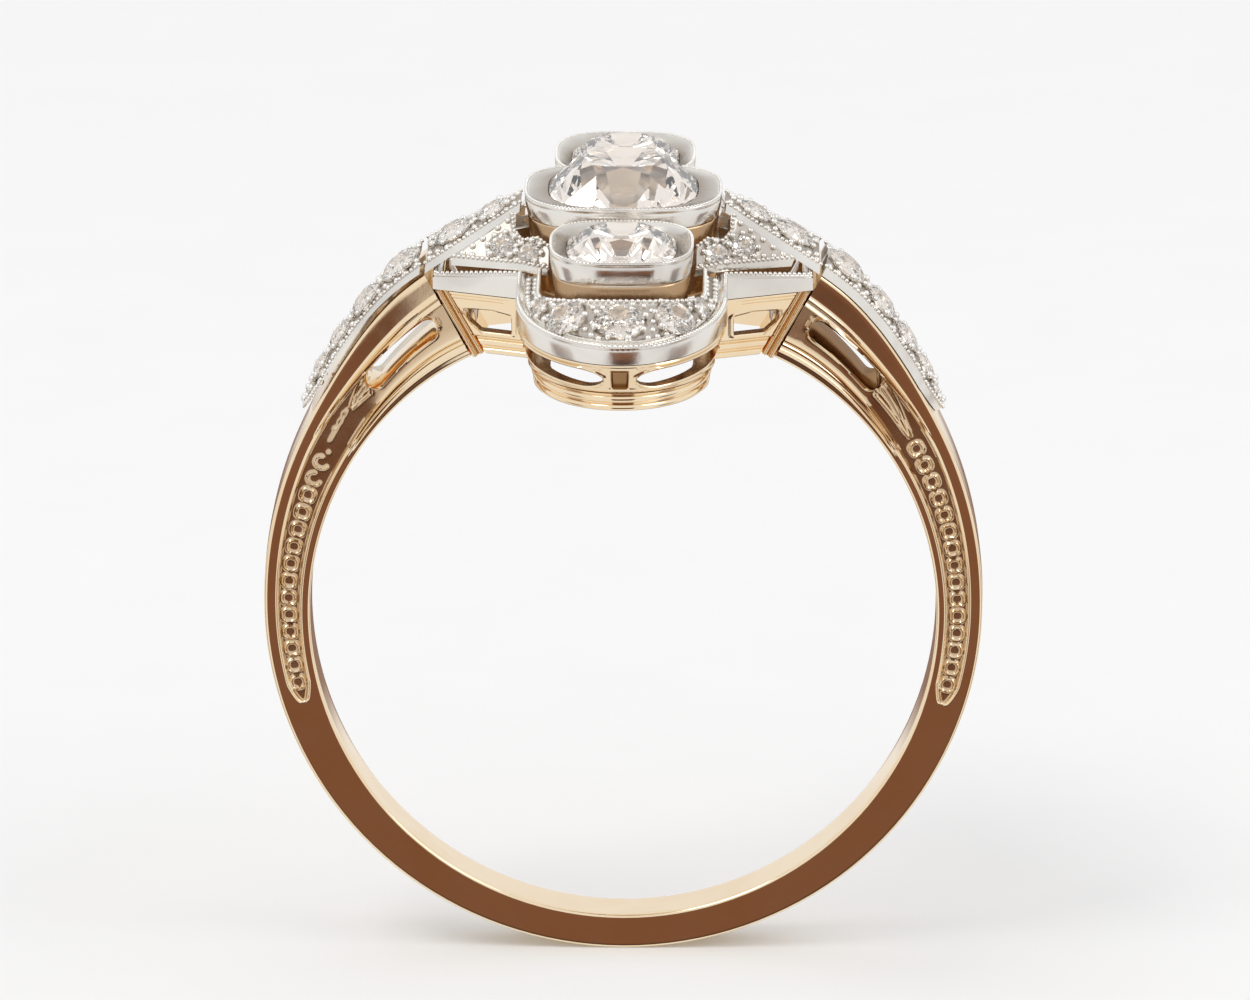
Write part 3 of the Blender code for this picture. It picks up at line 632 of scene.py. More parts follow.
def shank_section(degrees, side):
    """Half a section, from the bore's middle over the side to the outer middle, and its tones."""
    inner, outer, half = finger_radius(degrees), band_radius(degrees), band_half(degrees)
    radii = side_radii(degrees, side, inner, outer)
    relief, shade_and_tarnish = side_relief(np.full_like(radii, degrees), radii, inner, outer, side)
    relief = relief * step(radii, inner + EDGE_IN, inner + EDGE_IN + 0.08)
    relief = relief * (1 - step(radii, outer - EDGE_OUT - 0.05, outer - EDGE_OUT))
    turn = np.radians(chain((0, 90, 4)))[:-1]
    fall = np.radians(chain((90, 0, 5)))[1:]
    crown = BAND_CROWN if degrees > STRIP_TIP else 0.0
    rise = crown * np.sin(np.linspace(0, np.pi / 2, 6))[1:] - crown * 0.5
    ys = (
        np.linspace(0, half - EDGE_IN, 4)[:-1],
        half - EDGE_IN + EDGE_IN * np.sin(turn),
        half + relief,
        half - EDGE_OUT + EDGE_OUT * np.sin(fall),
        np.linspace(half - EDGE_OUT, 0, 6)[1:],
    )
    rs = (
        np.full(BORE_COLUMNS - len(turn), inner),
        inner + EDGE_IN - EDGE_IN * np.cos(turn),
        radii,
        outer - EDGE_OUT + EDGE_OUT * np.cos(fall),
        outer + rise,
    )
    # Only the side gets painted shade; the bore and the outer face get none.
    tones = np.concatenate([np.zeros(BORE_COLUMNS), shade_and_tarnish, np.zeros(len(fall) + len(rise))])
    return polar(np.concatenate(rs), side * degrees, -np.concatenate(ys)), tones


def make_shank():
    angles = shank_rows()
    right = [shank_section(a, 1) for a in angles]
    left = [shank_section(a, -1) for a in angles[:-1]][::-1]
    sections = right + left
    front = np.array([points for points, _ in sections])
    tones = np.array([tone for _, tone in sections])
    first, last, total = START_ROWS, START_ROWS + SLOT_ROWS, len(sections) - 1
    holes = ((first, last, *SLOT_COLUMNS), (total - last, total - first, *SLOT_COLUMNS))
    shape = Shape()
    shape.sheet(front, front * np.array((1, -1, 1)), holes, tones)
    shape.make("band", "shank", "gold", sharp=50, weld=True)


# ---- set plates


def stone_place(node):
    """Table centre, outward direction and girdle radius of a small stone, from its CAD solid. The
    table is the flat part with the largest area."""
    mesh = NODES[node].data
    points = np.array([vertex.co[:] for vertex in mesh.vertices]) / MM
    flat = {}
    for face in mesh.polygons:
        key = tuple(round(value, 2) for value in face.normal)
        flat.setdefault(key, []).append(face)
    table = max(flat.values(), key=lambda faces: sum(face.area for face in faces))
    normal = np.array(max(table, key=lambda face: face.area).normal)
    depth = points @ normal
    on_table = points[depth > depth.max() - 0.02]
    centre = (on_table.max(0) + on_table.min(0)) / 2
    rest = points - centre
    radius = np.linalg.norm(rest - np.outer(rest @ normal, normal), axis=1).max()
    return centre, normal, radius


# Small stones: heights as shares of their radius, and how they sit in their cup-shaped seats.
SMALL_TABLE_RISE, SMALL_PAVILION = 0.27, 0.42
SMALL_SINK, SEAT_CLEAR, CUP_WALL = 0.02, 0.03, 0.04
GRAIN, GRAIN_SWAY, GRAIN_APART = 0.095, 0.02, 0.16
# Painted shade over a plate's field, and in a ring round each seat.
BORDER_LIFT, PLATE_FIELD_SHADE, SEAT_LIP, LIP_SHADE = 0.05, 0.60, 0.03, 0.7


def girdle_point(node):
    """Where a small stone's girdle sits once it is sunk among its grains."""
    centre, normal, radius = stone_place(node)
    return centre - normal * (SMALL_TABLE_RISE * radius + SMALL_SINK), normal, radius * 0.97


def grains(stones, inside, per_stone=8, turn=0.4):
    """Places and sizes of the grains that hold the stones, where they don't fall on a stone or off
    the plate."""
    found, sizes = [], []
    for at, normal, radius in stones:
        side = np.cross(normal, (0.0, 1.0, 0.0))
        side /= np.linalg.norm(side)
        other = np.cross(normal, side)
        for k in range(per_stone):
            angle = math.tau * (k + turn) / per_stone
            reach = radius * 1.02 + 0.05
            spot = at + (side * math.cos(angle) + other * math.sin(angle)) * reach
            clear = all(np.linalg.norm(spot - near) > size * 0.96 for near, _, size in stones)
            apart = all(np.linalg.norm(spot - near) > GRAIN_APART for near in found)
            if clear and apart and inside(spot):
                found.append(spot + normal * 0.025)
                sizes.append(GRAIN + GRAIN_SWAY * math.sin(angle * 3 + len(found)))
    return found, sizes


def filler_grains(grid, stones, taken):
    """Grains that fill the plate's field where no stone and no other grain is."""
    found = []
    rows, columns = grid.shape[:2]
    for row in range(2, rows - 2):
        for column in range(3, columns - 3):
            spot = grid[row, column]
            if any(np.linalg.norm(spot - at) < radius + GRAIN for at, _, radius in stones):
                continue
            if all(np.linalg.norm(spot - other) > GRAIN * 2.7 for other in taken + found):
                found.append(spot)
    return found


def set_plate(name, grid, normals, under, nodes, milgrain=(1, -2), bead=0.06):
    """A pierced-and-set plate: bright-cut borders, a seat under each stone, grains, milgrain and
    painted shade.
    """
    stones = [girdle_point(node) for node in nodes]
    columns = grid.shape[1]
    share = np.abs(np.linspace(-1, 1, columns))[None, :]
    lift = BORDER_LIFT * step(share, 0.80, 0.94) * np.ones(grid.shape[:2])
    # Painted shade on the field: none at the borders or under the stones, more in a ring round each
    # seat.
    tone = PLATE_FIELD_SHADE * (1 - step(share, 0.78, 0.90)) * np.ones(grid.shape[:2])
    for at, normal, radius in stones:
        rest = grid - at
        flat = rest - (rest @ normal)[..., None] * normal
        reach = np.linalg.norm(flat, axis=-1) / radius
        level = ((at - grid) * normal).sum(-1) - SEAT_CLEAR
        cup = level - SMALL_PAVILION * radius * np.clip(1 - reach, 0, 1)
        lift = np.where(reach < 1.02, np.minimum(lift, cup), lift)
        lift = lift + SEAT_LIP * ridge(reach - 1.12, 0.06)
        tone = np.where(reach < 0.96, 0.0, tone)
        tone = np.maximum(tone, LIP_SHADE * ridge(reach - 1.05, 0.06))
    top = grid + normals * lift[..., None]
    under = np.minimum(under, top - CUP_WALL * np.abs(normals))
    shape = Shape()
    shape.sheet(top, under, tone=tone)

    def inside(spot):
        near = np.linalg.norm(grid - spot, axis=-1)
        row, column = np.unravel_index(near.argmin(), near.shape)
        return 1 < column < columns - 2 and 0 < row < grid.shape[0] - 1

    spots, sizes = grains(stones, inside)
    more = filler_grains(grid, stones, spots)
    shape.beads(spots, sizes)
    shape.beads(more, GRAIN)
    for column in milgrain:
        line = top[:, column] + normals[:, column] * 0.015
        shape.beads(along_path(line, bead * 2.2), bead)
    shape.make(name + "_plate", name, "platinum")


def shoulder_strip_half(degrees):
    half = band_half(degrees) - 0.03
    if degrees <= STRIP_TAPER_FROM:
        return half
    return half * max(STRIP_POINT, math.sqrt((STRIP_TIP - degrees) / (STRIP_TIP - STRIP_TAPER_FROM)))


def make_shoulder_strip(side, word):
    angles = np.linspace(SHANK_START, STRIP_TIP, STRIP_GRID[0])
    across = np.linspace(-1, 1, STRIP_GRID[1])
    grid, under, normals = [], [], []
    for degrees in angles:
        half = shoulder_strip_half(degrees)
        foot = band_radius(degrees) + GAP
        thin = 1.0 - (1.0 - STRIP_THIN) * step(degrees, *STRIP_THINNING)
        rise = (STRIP_EDGE + STRIP_CROWN * (1 - across**2)) * thin
        grid.append(polar(foot + rise, side * degrees, across * (half - STRIP_BEVEL * thin)))
        under.append(polar(np.full_like(across, foot), side * degrees, across * half))
        normals.append(polar(np.ones_like(across), side * degrees, 0.0))
    nodes = [f"{word}_shoulder_stone_{number}" for number in range(1, 6)]
    grid, normals, under = np.array(grid), np.array(normals), np.array(under)
    set_plate(f"{word}_shoulder_strip", grid, normals, under, nodes, bead=0.062)


def make_head_strip(side, word):
    xs = np.linspace(HEAD_STRIP_LOW, HEAD_STRIP_HIGH, HEAD_STRIP_GRID[0])
    across = np.linspace(-1, 1, HEAD_STRIP_GRID[1])
    grid, under = [], []
    for x in xs:
        half = HEAD_STRIP_HALF + (x - HEAD_STRIP_FULL_X) * HEAD_STRIP_FLARE
        edge = HEAD_STRIP_Z + (HEAD_STRIP_LOW - x) * HEAD_STRIP_RISE
        rise = STRIP_CROWN * (1 - across**2)
        narrow = across * (half - STRIP_BEVEL)
        grid.append(np.stack([np.full_like(across, side * x), narrow, edge + rise], -1))
        level = np.full_like(across, edge - STRIP_EDGE)
        under.append(np.stack([np.full_like(across, side * x), across * half, level], -1))
    normal = np.array((side * HEAD_STRIP_RISE, 0.0, 1.0))
    normals = np.broadcast_to(normal / np.linalg.norm(normal), (len(xs), len(across), 3))
    nodes = [f"{word}_head_stone_{number}" for number in (1, 2)]
    set_plate(f"{word}_head_strip", np.array(grid), normals, np.array(under), nodes)


def surface_normals(grid):
    """Upward unit normals of a grid of points."""
    along = np.gradient(grid, axis=0)
    across = np.gradient(grid, axis=1)
    normals = np.cross(along, across)
    normals *= np.sign(normals[..., 2:3]) + (normals[..., 2:3] == 0)
    return normals / np.maximum(np.linalg.norm(normals, axis=-1, keepdims=True), 1e-9)


def rim_top(x, y):
    if abs(x) >= LOBE_HALF:
        share = (CORNER_X - abs(x)) / (CORNER_X - NECK_X)
        return blend(RIM_TOP_CORNER, RIM_TOP_NECK, min(1.0, share))
    share = max(0.0, abs(y) - NECK_Y) / (LOBE_END - NECK_Y)
    return blend(RIM_TOP_NECK, RIM_TOP_END, share)


def lobe_plate_edges(degrees):
    """Outer and inner edge of a lobe's plate at an angle round the lobe."""
    c, s = math.cos(math.radians(degrees)), math.sin(math.radians(degrees))
    half, depth = LOBE_HALF - PLATE_INSET, LOBE_END - LOBE_CENTRE - PLATE_INSET
    outer = np.array((half * c, LOBE_CENTRE + depth * s, 0.0))
    outer[2] = rim_top(outer[0], outer[1])
    across = math.copysign(abs(c) ** (2 / LOBE_OPEN_POWER), c)
    along = abs(s) ** (2 / LOBE_OPEN_POWER)
    rise = blend(LOBE_OPEN_Z_SIDE, LOBE_OPEN_Z_END, abs(s))
    y = blend(LOBE_OPEN_CENTRE, LOBE_OPEN_END, along)
    return outer, np.array((LOBE_OPEN_HALF * across, y, rise))


def make_lobe_plate(sign, word):
    half, straight = LOBE_HALF - PLATE_INSET, []
    for y in chain((LOBE_PLATE_START, LOBE_CENTRE, 9))[:-1]:
        share = (y - LOBE_PLATE_START) / (LOBE_CENTRE - LOBE_PLATE_START)
        top = blend(RIM_TOP_NECK, rim_top(0, LOBE_CENTRE), share)
        straight.append(((half, y, top), (LOBE_OPEN_HALF, y, LOBE_OPEN_Z_SIDE)))
    turns = np.linspace(0, 180, 121)
    turns = turns - PLATE_CROWDING * np.sin(np.radians(turns * 4))
    straight = np.array(straight)
    mirrored = straight[::-1] * (-1, 1, 1)
    pairs = np.concatenate([straight, [lobe_plate_edges(turn) for turn in turns], mirrored])
    share = np.linspace(0, 1, 29)[None, :, None]
    grid = blend(pairs[:, :1], pairs[:, 1:], share) * np.array((1, sign, 1))
    grid[..., 2:3] -= PLATE_SAG * np.sin(np.pi * share)
    normals = surface_normals(grid)
    under = grid - np.array((0, 0, PLATE_THICK))
    nodes = [f"{word}_lobe_stone_{number}" for number in range(1, 6)]
    set_plate(f"{word}_lobe_plate", grid, normals, under, nodes, milgrain=(-2,), bead=0.07)


def make_wing(sign, side, word):
    """Three-sided plate beside the centre collet, sloping up towards it."""
    tip, ridge_top, foot = (np.array(p) for p in (WING_TIP, WING_RIDGE, WING_FOOT))
    normal = np.cross(ridge_top - tip, foot - tip)
    normal *= math.copysign(1.0, normal[2]) / np.linalg.norm(normal)

    def lifted(points):
        points = np.array([(x, y, 0.0) for x, y in points])
        points[:, 2] = tip[2] - (points[:, :2] - tip[:2]) @ normal[:2] / normal[2]
        return points

    edges = [lifted(edge) for edge in (WING_OUTER, WING_INNER)]
    outer, inner = (along_path(edge, path_length(edge) / WING_ROWS)[:, None] for edge in edges)
    flip = np.array((side, sign, 1))
    grid = blend(outer, inner, np.linspace(0, 1, 25)[None, :, None]) * flip
    normals = np.broadcast_to(normal * flip, grid.shape)
    under = grid - normals * PLATE_THICK
    nodes = [f"{word}_wing_stone_{number}" for number in (1, 2)]
    set_plate(f"{word}_wing", grid, normals, under, nodes)


def path_length(points):
    return float(np.linalg.norm(np.diff(points, axis=0), axis=1).sum())


# ---- head wall and gallery


def bar_y(x, inset=0.0):
    """Y of the straight edge between shoulder corner and neck, moved inwards by an inset."""
    along = np.array((NECK_X - CORNER_X, NECK_Y - CORNER_Y))
    along /= np.linalg.norm(along)
    outward = np.array((along[1], -along[0]))
    if outward[1] < 0:
        outward = -outward
    return (outward @ (CORNER_X, CORNER_Y) - inset - outward[0] * x) / outward[1]


QUARTER_STEPS = 30


def lobe_quarter(inset):
    half, depth = LOBE_HALF - inset, LOBE_END - LOBE_CENTRE - inset
    angles = np.linspace(0, math.pi / 2, QUARTER_STEPS + 1)
    return [(half * math.cos(a), LOBE_CENTRE + depth * math.sin(a)) for a in angles]


def head_outline(inset, corner_x):
    """The head's plan as a loop, anticlockwise from the right shoulder."""
    half = LOBE_HALF - inset
    xs = np.linspace(corner_x, half, 7)
    first = [(x, bar_y(x, inset)) for x in xs] + lobe_quarter(inset)
    second = [(-x, y) for x, y in reversed(first[:-1])]
    upper = first + second
    return upper + [(-x, -y) for x, y in upper]


def sweep_head(plans, levels):
    """A moulding round the head: one plan for each line of its profile, and that line's levels."""
    shape = Shape()
    lines = np.concatenate([np.array(plans), np.array(levels)[..., None]], -1)
    shape.sweep(lines.transpose(1, 0, 2))
    return shape


def make_rim():
    """Platinum wall round the head, with a beaded top edge."""
    profile = (
        (0.030, 0.00), (0.012, 0.02), (0.000, 0.10), (0.004, 0.45), (0.000, 0.70), (0.010, 0.80),
        (0.040, 0.84), (0.040, 0.90), (0.015, 0.94), (0.030, 0.99), (0.075, 1.00), (0.140, 0.98),
        (0.230, 0.95), (RIM_THICK, 0.92), (RIM_THICK, 0.50), (RIM_THICK, 0.00),
    )
    rises = [rim_top(x, y) - RIM_BASE for x, y in head_outline(0.0, CORNER_X)]
    shape = sweep_head(
        [head_outline(inset, CORNER_X - inset) for inset, _ in profile],
        [[RIM_BASE + rise * share for rise in rises] for _, share in profile],
    )
    crest = [(x, y, rim_top(x, y) - 0.01) for x, y in head_outline(0.075, CORNER_X - 0.075)]
    shape.beads(along_path(crest, 0.14, closed=True), 0.066)
    shape.make("platinum_rim_wall", "platinum_rim", "platinum", sharp=40)


def lobe_rise(y):
    return LOBE_RISE * min(1.0, max(0.0, (abs(y) - NECK_Y) / (LOBE_END - NECK_Y)))


def make_base_rail():
    """Gold foot moulding of the gallery: two rounded rails with a groove between them."""
    profile = (
        (0.600, 0.000), (0.530, 0.010), (0.480, 0.050), (0.470, 0.110), (0.500, 0.160),
        (0.545, 0.185), (0.545, 0.215), (0.490, 0.240), (0.440, 0.290), (0.425, 0.350),
        (0.445, 0.410), (0.500, 0.440), (0.500, 0.470), (0.450, 0.485), (0.440, 0.500),
        (0.920, 0.500), (0.920, 0.250), (0.900, 0.000),
    )
    feet = [BASE_FOOT + lobe_rise(y) for _, y in head_outline(BASE_INSET, BASE_CORNER_X)]
    corners = [junction_x(BASE_FOOT + up) - GAP - 0.05 * (0.6 - inset) for inset, up in profile]
    shape = sweep_head(
        [head_outline(inset, corner) for (inset, _), corner in zip(profile, corners)],
        [[foot + up for foot in feet] for _, up in profile],
    )
    shape.make("base_rail_moulding", "base_rail", "gold", sharp=50)


WALL_ROWS = (0, 12, 20, 30)  # grid columns: foot, window's lower edge, its upper edge, top


def wall_levels(low_edge, high_edge, foot):
    """Heights of a wall's grid lines, two of which follow a window's edges."""
    return np.interp(
        np.arange(WALL_ROWS[-1] + 1), WALL_ROWS, (foot, low_edge, high_edge, WALL_TOP)
    )


def wall_relief(z, foot, window_distance):
    """Mouldings of a gallery wall: double lines at the top, one at the foot, a rim at a window."""
    relief = 0.045 * (ridge(z - (WALL_TOP - 0.045), 0.030) + ridge(z - (WALL_TOP - 0.135), 0.030))
    relief = relief + 0.04 * ridge(z - (foot + 0.05), 0.035)
    return relief + 0.045 * ridge(window_distance - 0.045, 0.035)


def wall_inset(z, foot):
    """How far a gallery wall's outside stands inside the head's plan, which it narrows towards."""
    return blend(WALL_INSET_TOP, WALL_INSET_BASE, (WALL_TOP - z) / (WALL_TOP - foot))


def basket_window(turn):
    """Middle and half height of a lobe's window at an angle from the lobe's straight side."""
    share = (turn - WINDOW_FROM) / (WINDOW_TO - WINDOW_FROM)
    near_end = np.clip(np.minimum(share / 0.30, (1 - share) / 0.22), 0, 1)
    opening = np.clip(np.sqrt(1 - (1 - near_end) ** 2), 0.2, 1.0)
    return (WINDOW_LOW + WINDOW_HIGH) / 2, (WINDOW_HIGH - WINDOW_LOW) / 2 * opening


STRAIGHT_ROWS, WINDOW_START_ROWS, WINDOW_ROWS = 8, 3, 45
POST_EDGES, POST_DEPTH, POST_FOOT, POST_TOP = (0.20, 0.27), 0.13, (0.10, 0.14), (0.23, 0.18)
# Painted shade: a little on a gallery wall's outside, more in a sunk post, and more on the walls'
# insides.
WALL_SHADE, POST_SHADE, BASKET_BACK_SHADE, SIDE_BACK_SHADE = 0.10, 0.85, 0.45, 0.55


def make_basket(sign, word):
    """Pierced gold wall of a lobe, with a sunk post at its end; painted shade on it, deeper in the
    post.
    """
    start = bar_y(LOBE_HALF, WALL_THICK) + GAP
    turns = chain(
        (0, WINDOW_FROM, WINDOW_START_ROWS), (WINDOW_FROM, WINDOW_TO, WINDOW_ROWS), (WINDOW_TO, 90, 12)
    )
    path = [(0.0, y) for y in chain((start, LOBE_CENTRE, STRAIGHT_ROWS))[:-1]]
    path += [(turn, LOBE_CENTRE) for turn in turns]
    front, back, tones = [], [], []
    for turn, y in path:
        c, s = math.cos(math.radians(turn)), math.sin(math.radians(turn))
        middle, tall = basket_window(turn)
        foot = WALL_BASE + lobe_rise(y + (LOBE_END - LOBE_CENTRE) * s)
        z = wall_levels(middle - tall, middle + tall, foot)
        beyond = max(WINDOW_FROM - turn, turn - WINDOW_TO, 0.0) * 0.05 + LOBE_CENTRE - y
        distance = np.hypot(beyond, np.maximum(np.abs(z - middle) - tall, 0.0))
        in_wall = step(z, foot + POST_FOOT[0], foot + POST_FOOT[1])
        in_wall = in_wall * (1 - step(z, WALL_TOP - POST_TOP[0], WALL_TOP - POST_TOP[1]))
        recess = (1 - step(LOBE_HALF * c, *POST_EDGES)) * in_wall
        relief = wall_relief(z, foot, distance) - POST_DEPTH * recess
        # Painted shade over the wall, deeper in the sunk post.
        tones.append(WALL_SHADE + POST_SHADE * recess)
        for rows, extra in ((front, -relief), (back, WALL_THICK)):
            half = LOBE_HALF - wall_inset(z, foot) - extra
            depth = LOBE_END - LOBE_CENTRE - wall_inset(z, foot) - extra
            rows.append(np.stack([half * c, y + depth * s, z], -1))
    mirror, flip = np.array((-1, 1, 1)), np.array((1, sign, 1))
    front = np.array(front + [points * mirror for points in front[-2::-1]])
    back = np.array(back + [points * mirror for points in back[-2::-1]])
    tones = np.array(tones + tones[-2::-1])
    first = STRAIGHT_ROWS + WINDOW_START_ROWS
    last, total = first + WINDOW_ROWS, len(front) - 1
    columns = WALL_ROWS[1:3]
    holes = ((first, last, *columns), (total - last, total - first, *columns))
    shape = Shape()
    shape.sheet(front * flip, back * flip, holes, tone=tones, back_shade=BASKET_BACK_SHADE)
    shape.make(f"{word}_basket_wall", f"{word}_basket", "gold", sharp=50)


def junction_x(z):
    lean = math.radians(JUNCTION_ANGLE)
    return z * math.tan(lean) - (JUNCTION_THICK + GAP) / math.cos(lean)


SIDE_WINDOW_X = (2.98, 3.50, 3.78, 4.08, 4.28)
SIDE_WINDOW_LOW = (8.28, 8.28, 8.28, 8.56, 8.86)
SIDE_WINDOW_HIGH = (8.84, 8.94, 8.93, 8.915, 8.90)


def make_gallery_side(sign, side, word):
    """Pierced gold wall between a lobe and a shoulder, with painted shade on its inside."""
    near = LOBE_HALF - WALL_INSET_BASE + 0.03
    window = SIDE_WINDOW_X[0], SIDE_WINDOW_X[-1]
    stretches = (near, window[0], 8), (*window, 40), (window[1], junction_x(WALL_TOP), 5)
    front, back = [], []
    for x in chain(*stretches):
        low_edge = np.interp(x, SIDE_WINDOW_X, SIDE_WINDOW_LOW)
        high_edge = np.interp(x, SIDE_WINDOW_X, SIDE_WINDOW_HIGH)
        z = wall_levels(low_edge, high_edge, WALL_BASE)
        beyond = max(window[0] - x, x - window[1], 0.0)
        distance = np.hypot(beyond, np.maximum(np.maximum(low_edge - z, z - high_edge), 0.0))
        relief = wall_relief(z, WALL_BASE, distance)
        limit = np.minimum(x, [junction_x(level) for level in z])
        for rows, extra in ((front, -relief), (back, WALL_THICK)):
            insets = wall_inset(z, WALL_BASE) + extra
            ys = np.array([bar_y(a, b) for a, b in zip(limit, insets)])
            rows.append(np.stack([limit, ys, z], -1))
    flip = np.array((side, sign, 1))
    first, last = stretches[0][2], stretches[0][2] + stretches[1][2]
    shape = Shape()
    hole = (first, last, *WALL_ROWS[1:3])
    shape.sheet(np.array(front) * flip, np.array(back) * flip, (hole,), back_shade=SIDE_BACK_SHADE)
    shape.make(f"{word}_gallery_wall", f"{word}_gallery_side", "gold", sharp=50, weld=True)


def make_junction(side, word):
    """Post between shoulder and gallery: two round ridges with a groove between them."""
    share = np.linspace(0, 1, 25)
    turned = np.abs(np.sin(share * 2 * np.pi)) ** 0.8
    depth = np.outer(JUNCTION_HALF - 0.10 + 0.12 * turned, (0, 1, 0))
    lean = math.radians(JUNCTION_ANGLE)
    along = np.array((math.sin(lean), 0, math.cos(lean)))
    across = np.array((-math.cos(lean), 0, math.sin(lean)))
    sections = []
    for radius in np.linspace(JUNCTION_INNER, JUNCTION_OUTER, 12):
        middle = along * radius + np.outer(share * JUNCTION_THICK, across)
        loop = np.concatenate([middle - depth, (middle + depth)[::-1]])
        sections.append(loop * np.array((side, 1, 1)))
    shape = Shape()
    shape.sweep(sections, closed=False)
    shape.make(f"{word}_junction_post", f"{word}_junction_plate", "gold", sharp=45)


# ---- collets and stones


def cushion_reach(c, s):
    """Reach of a unit cushion towards a direction: a square with bowed sides and round corners."""
    return (np.abs(c) ** CUSHION_POWER + np.abs(s) ** CUSHION_POWER) ** (-1 / CUSHION_POWER)


def cushion(half, y, z, count=72):
    """A cushion-shaped loop round a point on the head's middle line."""
    angles = math.tau * (np.arange(count) + 0.5) / count
    c, s = np.cos(angles), np.sin(angles)
    reach = cushion_reach(c, s)
    return np.stack([half[0] * reach * c, half[1] * reach * s + y, np.full(count, z)], -1)


def plan(node):
    """Half sizes in plan of a collet or large stone, and where it stands along the finger."""
    lowest, highest = low(node), high(node)
    return (highest[:2] - lowest[:2]) / 2, (lowest[1] + highest[1]) / 2


def girdle_height(word):
    return high(f"{word}_collet")[2] - (0.08 if word == "centre" else 0.22)


# Outside of a collet: heights over its foot, over its joint and over its rim, and how far each
# line stands out.
COLLET_FOOT = (0.00, -0.03), (0.03, 0.0), (0.12, 0.02), (0.18, 0.0)
COLLET_JOINT = (-0.06, 0.0), (-0.02, -0.02), (0.0, -0.035), (0.02, -0.01), (0.08, 0.0)
COLLET_RIM = (
    (-0.17, 0.0), (-0.14, -0.018), (-0.11, -0.018), (-0.08, -0.002), (-0.03, -0.010), (0.0, -0.050),
)


def make_collet(word, joint_drop):
    """Tapering setting: platinum bezel above, gold tube below, hollow down to the gallery."""
    name = f"{word}_collet"
    half, y = plan(name)
    stone_half = plan(f"{word}_diamond")[0]
    rim, foot, girdle = high(name)[2], low(name)[2], girdle_height(word)
    joint = rim - joint_drop
    side = [(foot + up, off) for up, off in COLLET_FOOT]
    side += [(joint + up, off) for up, off in COLLET_JOINT] + [((joint + rim) / 2, 0.010)]
    side += [(rim + up, off) for up, off in COLLET_RIM]
    bevel, bore = half - 0.11, half * COLLET_TAPER - 0.42
    rows = []
    # The outside's gold tube below the joint gets painted shade.
    for z, off in side:
        taper = 1 - (1 - COLLET_TAPER) * (rim - z) / (rim - foot)
        rows.append((z, half * taper + off, COLLET_TUBE_SHADE if z < joint else 0.0))
    # Inside rows: painted shade, deepest just above the girdle and at the foot.
    rows += [
        (rim - 0.015, bevel, 0.05),
        (rim - 0.07, bevel - 0.05, 0.22),
        (girdle + 0.05, stone_half + 0.03, 0.55),
        (girdle - 0.01, stone_half + 0.012, 0.1),
        (girdle - 0.22, stone_half - 0.16, 0.0),
        (foot + 0.20, bore, 0.0),
        (foot, bore, 0.3),
    ]
    loops = np.array([cushion(sizes, y, z) for z, sizes, _ in rows])
    looks = [int(z < joint - 0.01) for z, _, _ in rows]
    tones = [tone for _, _, tone in rows]
    count = loops.shape[1]
    shape = Shape()
    shape.sweep(loops, np.repeat(looks, count), tone=np.repeat(tones, count))
    edge = cushion(half - 0.050, y, rim - 0.010)
    shape.beads(along_path(edge, 0.105, closed=True), 0.044)
    shape.make(name + "_bezel", name, "platinum", "gold", sharp=60)


GIRDLE_FACETS = (1.27, 1.10)  # steepness against the mains, above and below the girdle
GIRDLE_DEPTH, CULET_RATIO, STAR_SHARE = 0.06, 0.12, 1.05


def outward(here, ahead):
    """Unit normal in plan of the line between two girdle points, facing out."""
    facing = Vector((ahead[1] - here[1], here[0] - ahead[0], 0)).normalized()
    return -facing if facing.dot(Vector((*here, 0))) < 0 else facing


def cut_stone(outline, girdle, crown, pavilion, table, culet, star_slope):
    """Cuts a prism to an old brilliant: eight kites, stars and pairs of girdle facets above, eight
    mains and their girdle facets below. outline maps an angle to a girdle point."""
    count = 64
    gem = bmesh.new()
    loop = [outline(math.tau * i / count) for i in range(count)]
    rings = [
        [gem.verts.new((x, y, z)) for x, y in loop] for z in (-pavilion * 1.6, crown * 1.8 + girdle)
    ]
    for i in range(count):
        j = (i + 1) % count
        gem.faces.new((rings[0][i], rings[0][j], rings[1][j], rings[1][i]))
    gem.faces.new(rings[0][::-1])
    gem.faces.new(rings[1])

    def slice_off(point, facing, rise):
        normal = Vector((facing[0], facing[1], rise)).normalized()
        parts = gem.verts[:] + gem.edges[:] + gem.faces[:]
        cut = bmesh.ops.bisect_plane(
            gem, geom=parts, dist=1e-5, plane_co=point, plane_no=normal, clear_outer=True
        )
        edges = [part for part in cut["geom_cut"] if isinstance(part, bmesh.types.BMEdge)]
        if len(edges) > 2:
            bmesh.ops.contextual_create(gem, geom=edges)

    levels = ((1, girdle, crown, table), (-1, 0.0, pavilion, culet))
    for (up, level, depth, keep), ratio in zip(levels, GIRDLE_FACETS):
        for k in range(8):
            turn = math.tau * k / 8
            here = outline(turn)
            facing = outward(outline(turn - 0.01), outline(turn + 0.01))
            steep = depth / ((1 - keep) * Vector((*here, 0)).dot(facing))
            slice_off((*here, level), facing, up / steep)
            for halfway in (turn - math.tau / 16, turn + math.tau / 16):
                slice_off((*here, level), outward(here, outline(halfway)), up / (steep * ratio))
    slice_off((0, 0, girdle + crown), (0, 0), 1)
    slice_off((0, 0, -pavilion * (1 - culet * 0.35)), (0, 0), -1)
    corners = [Vector((*outline(math.tau * k / 8), 0)) * table for k in range(9)]
    for here, ahead in zip(corners[:-1], corners[1:]):
        slice_off((here.x, here.y, girdle + crown), outward(here.xy, ahead.xy), 1 / star_slope)
    return gem


def finish_gem(gem, node, look, matrix):
    bmesh.ops.recalc_face_normals(gem, faces=gem.faces)
    mesh = bpy.data.meshes.new(node + "_cut")
    gem.to_mesh(mesh)
    gem.free()
    mesh.transform(matrix)
    mesh.materials.append(look)
    place(mesh.name, mesh, node, "diamond")


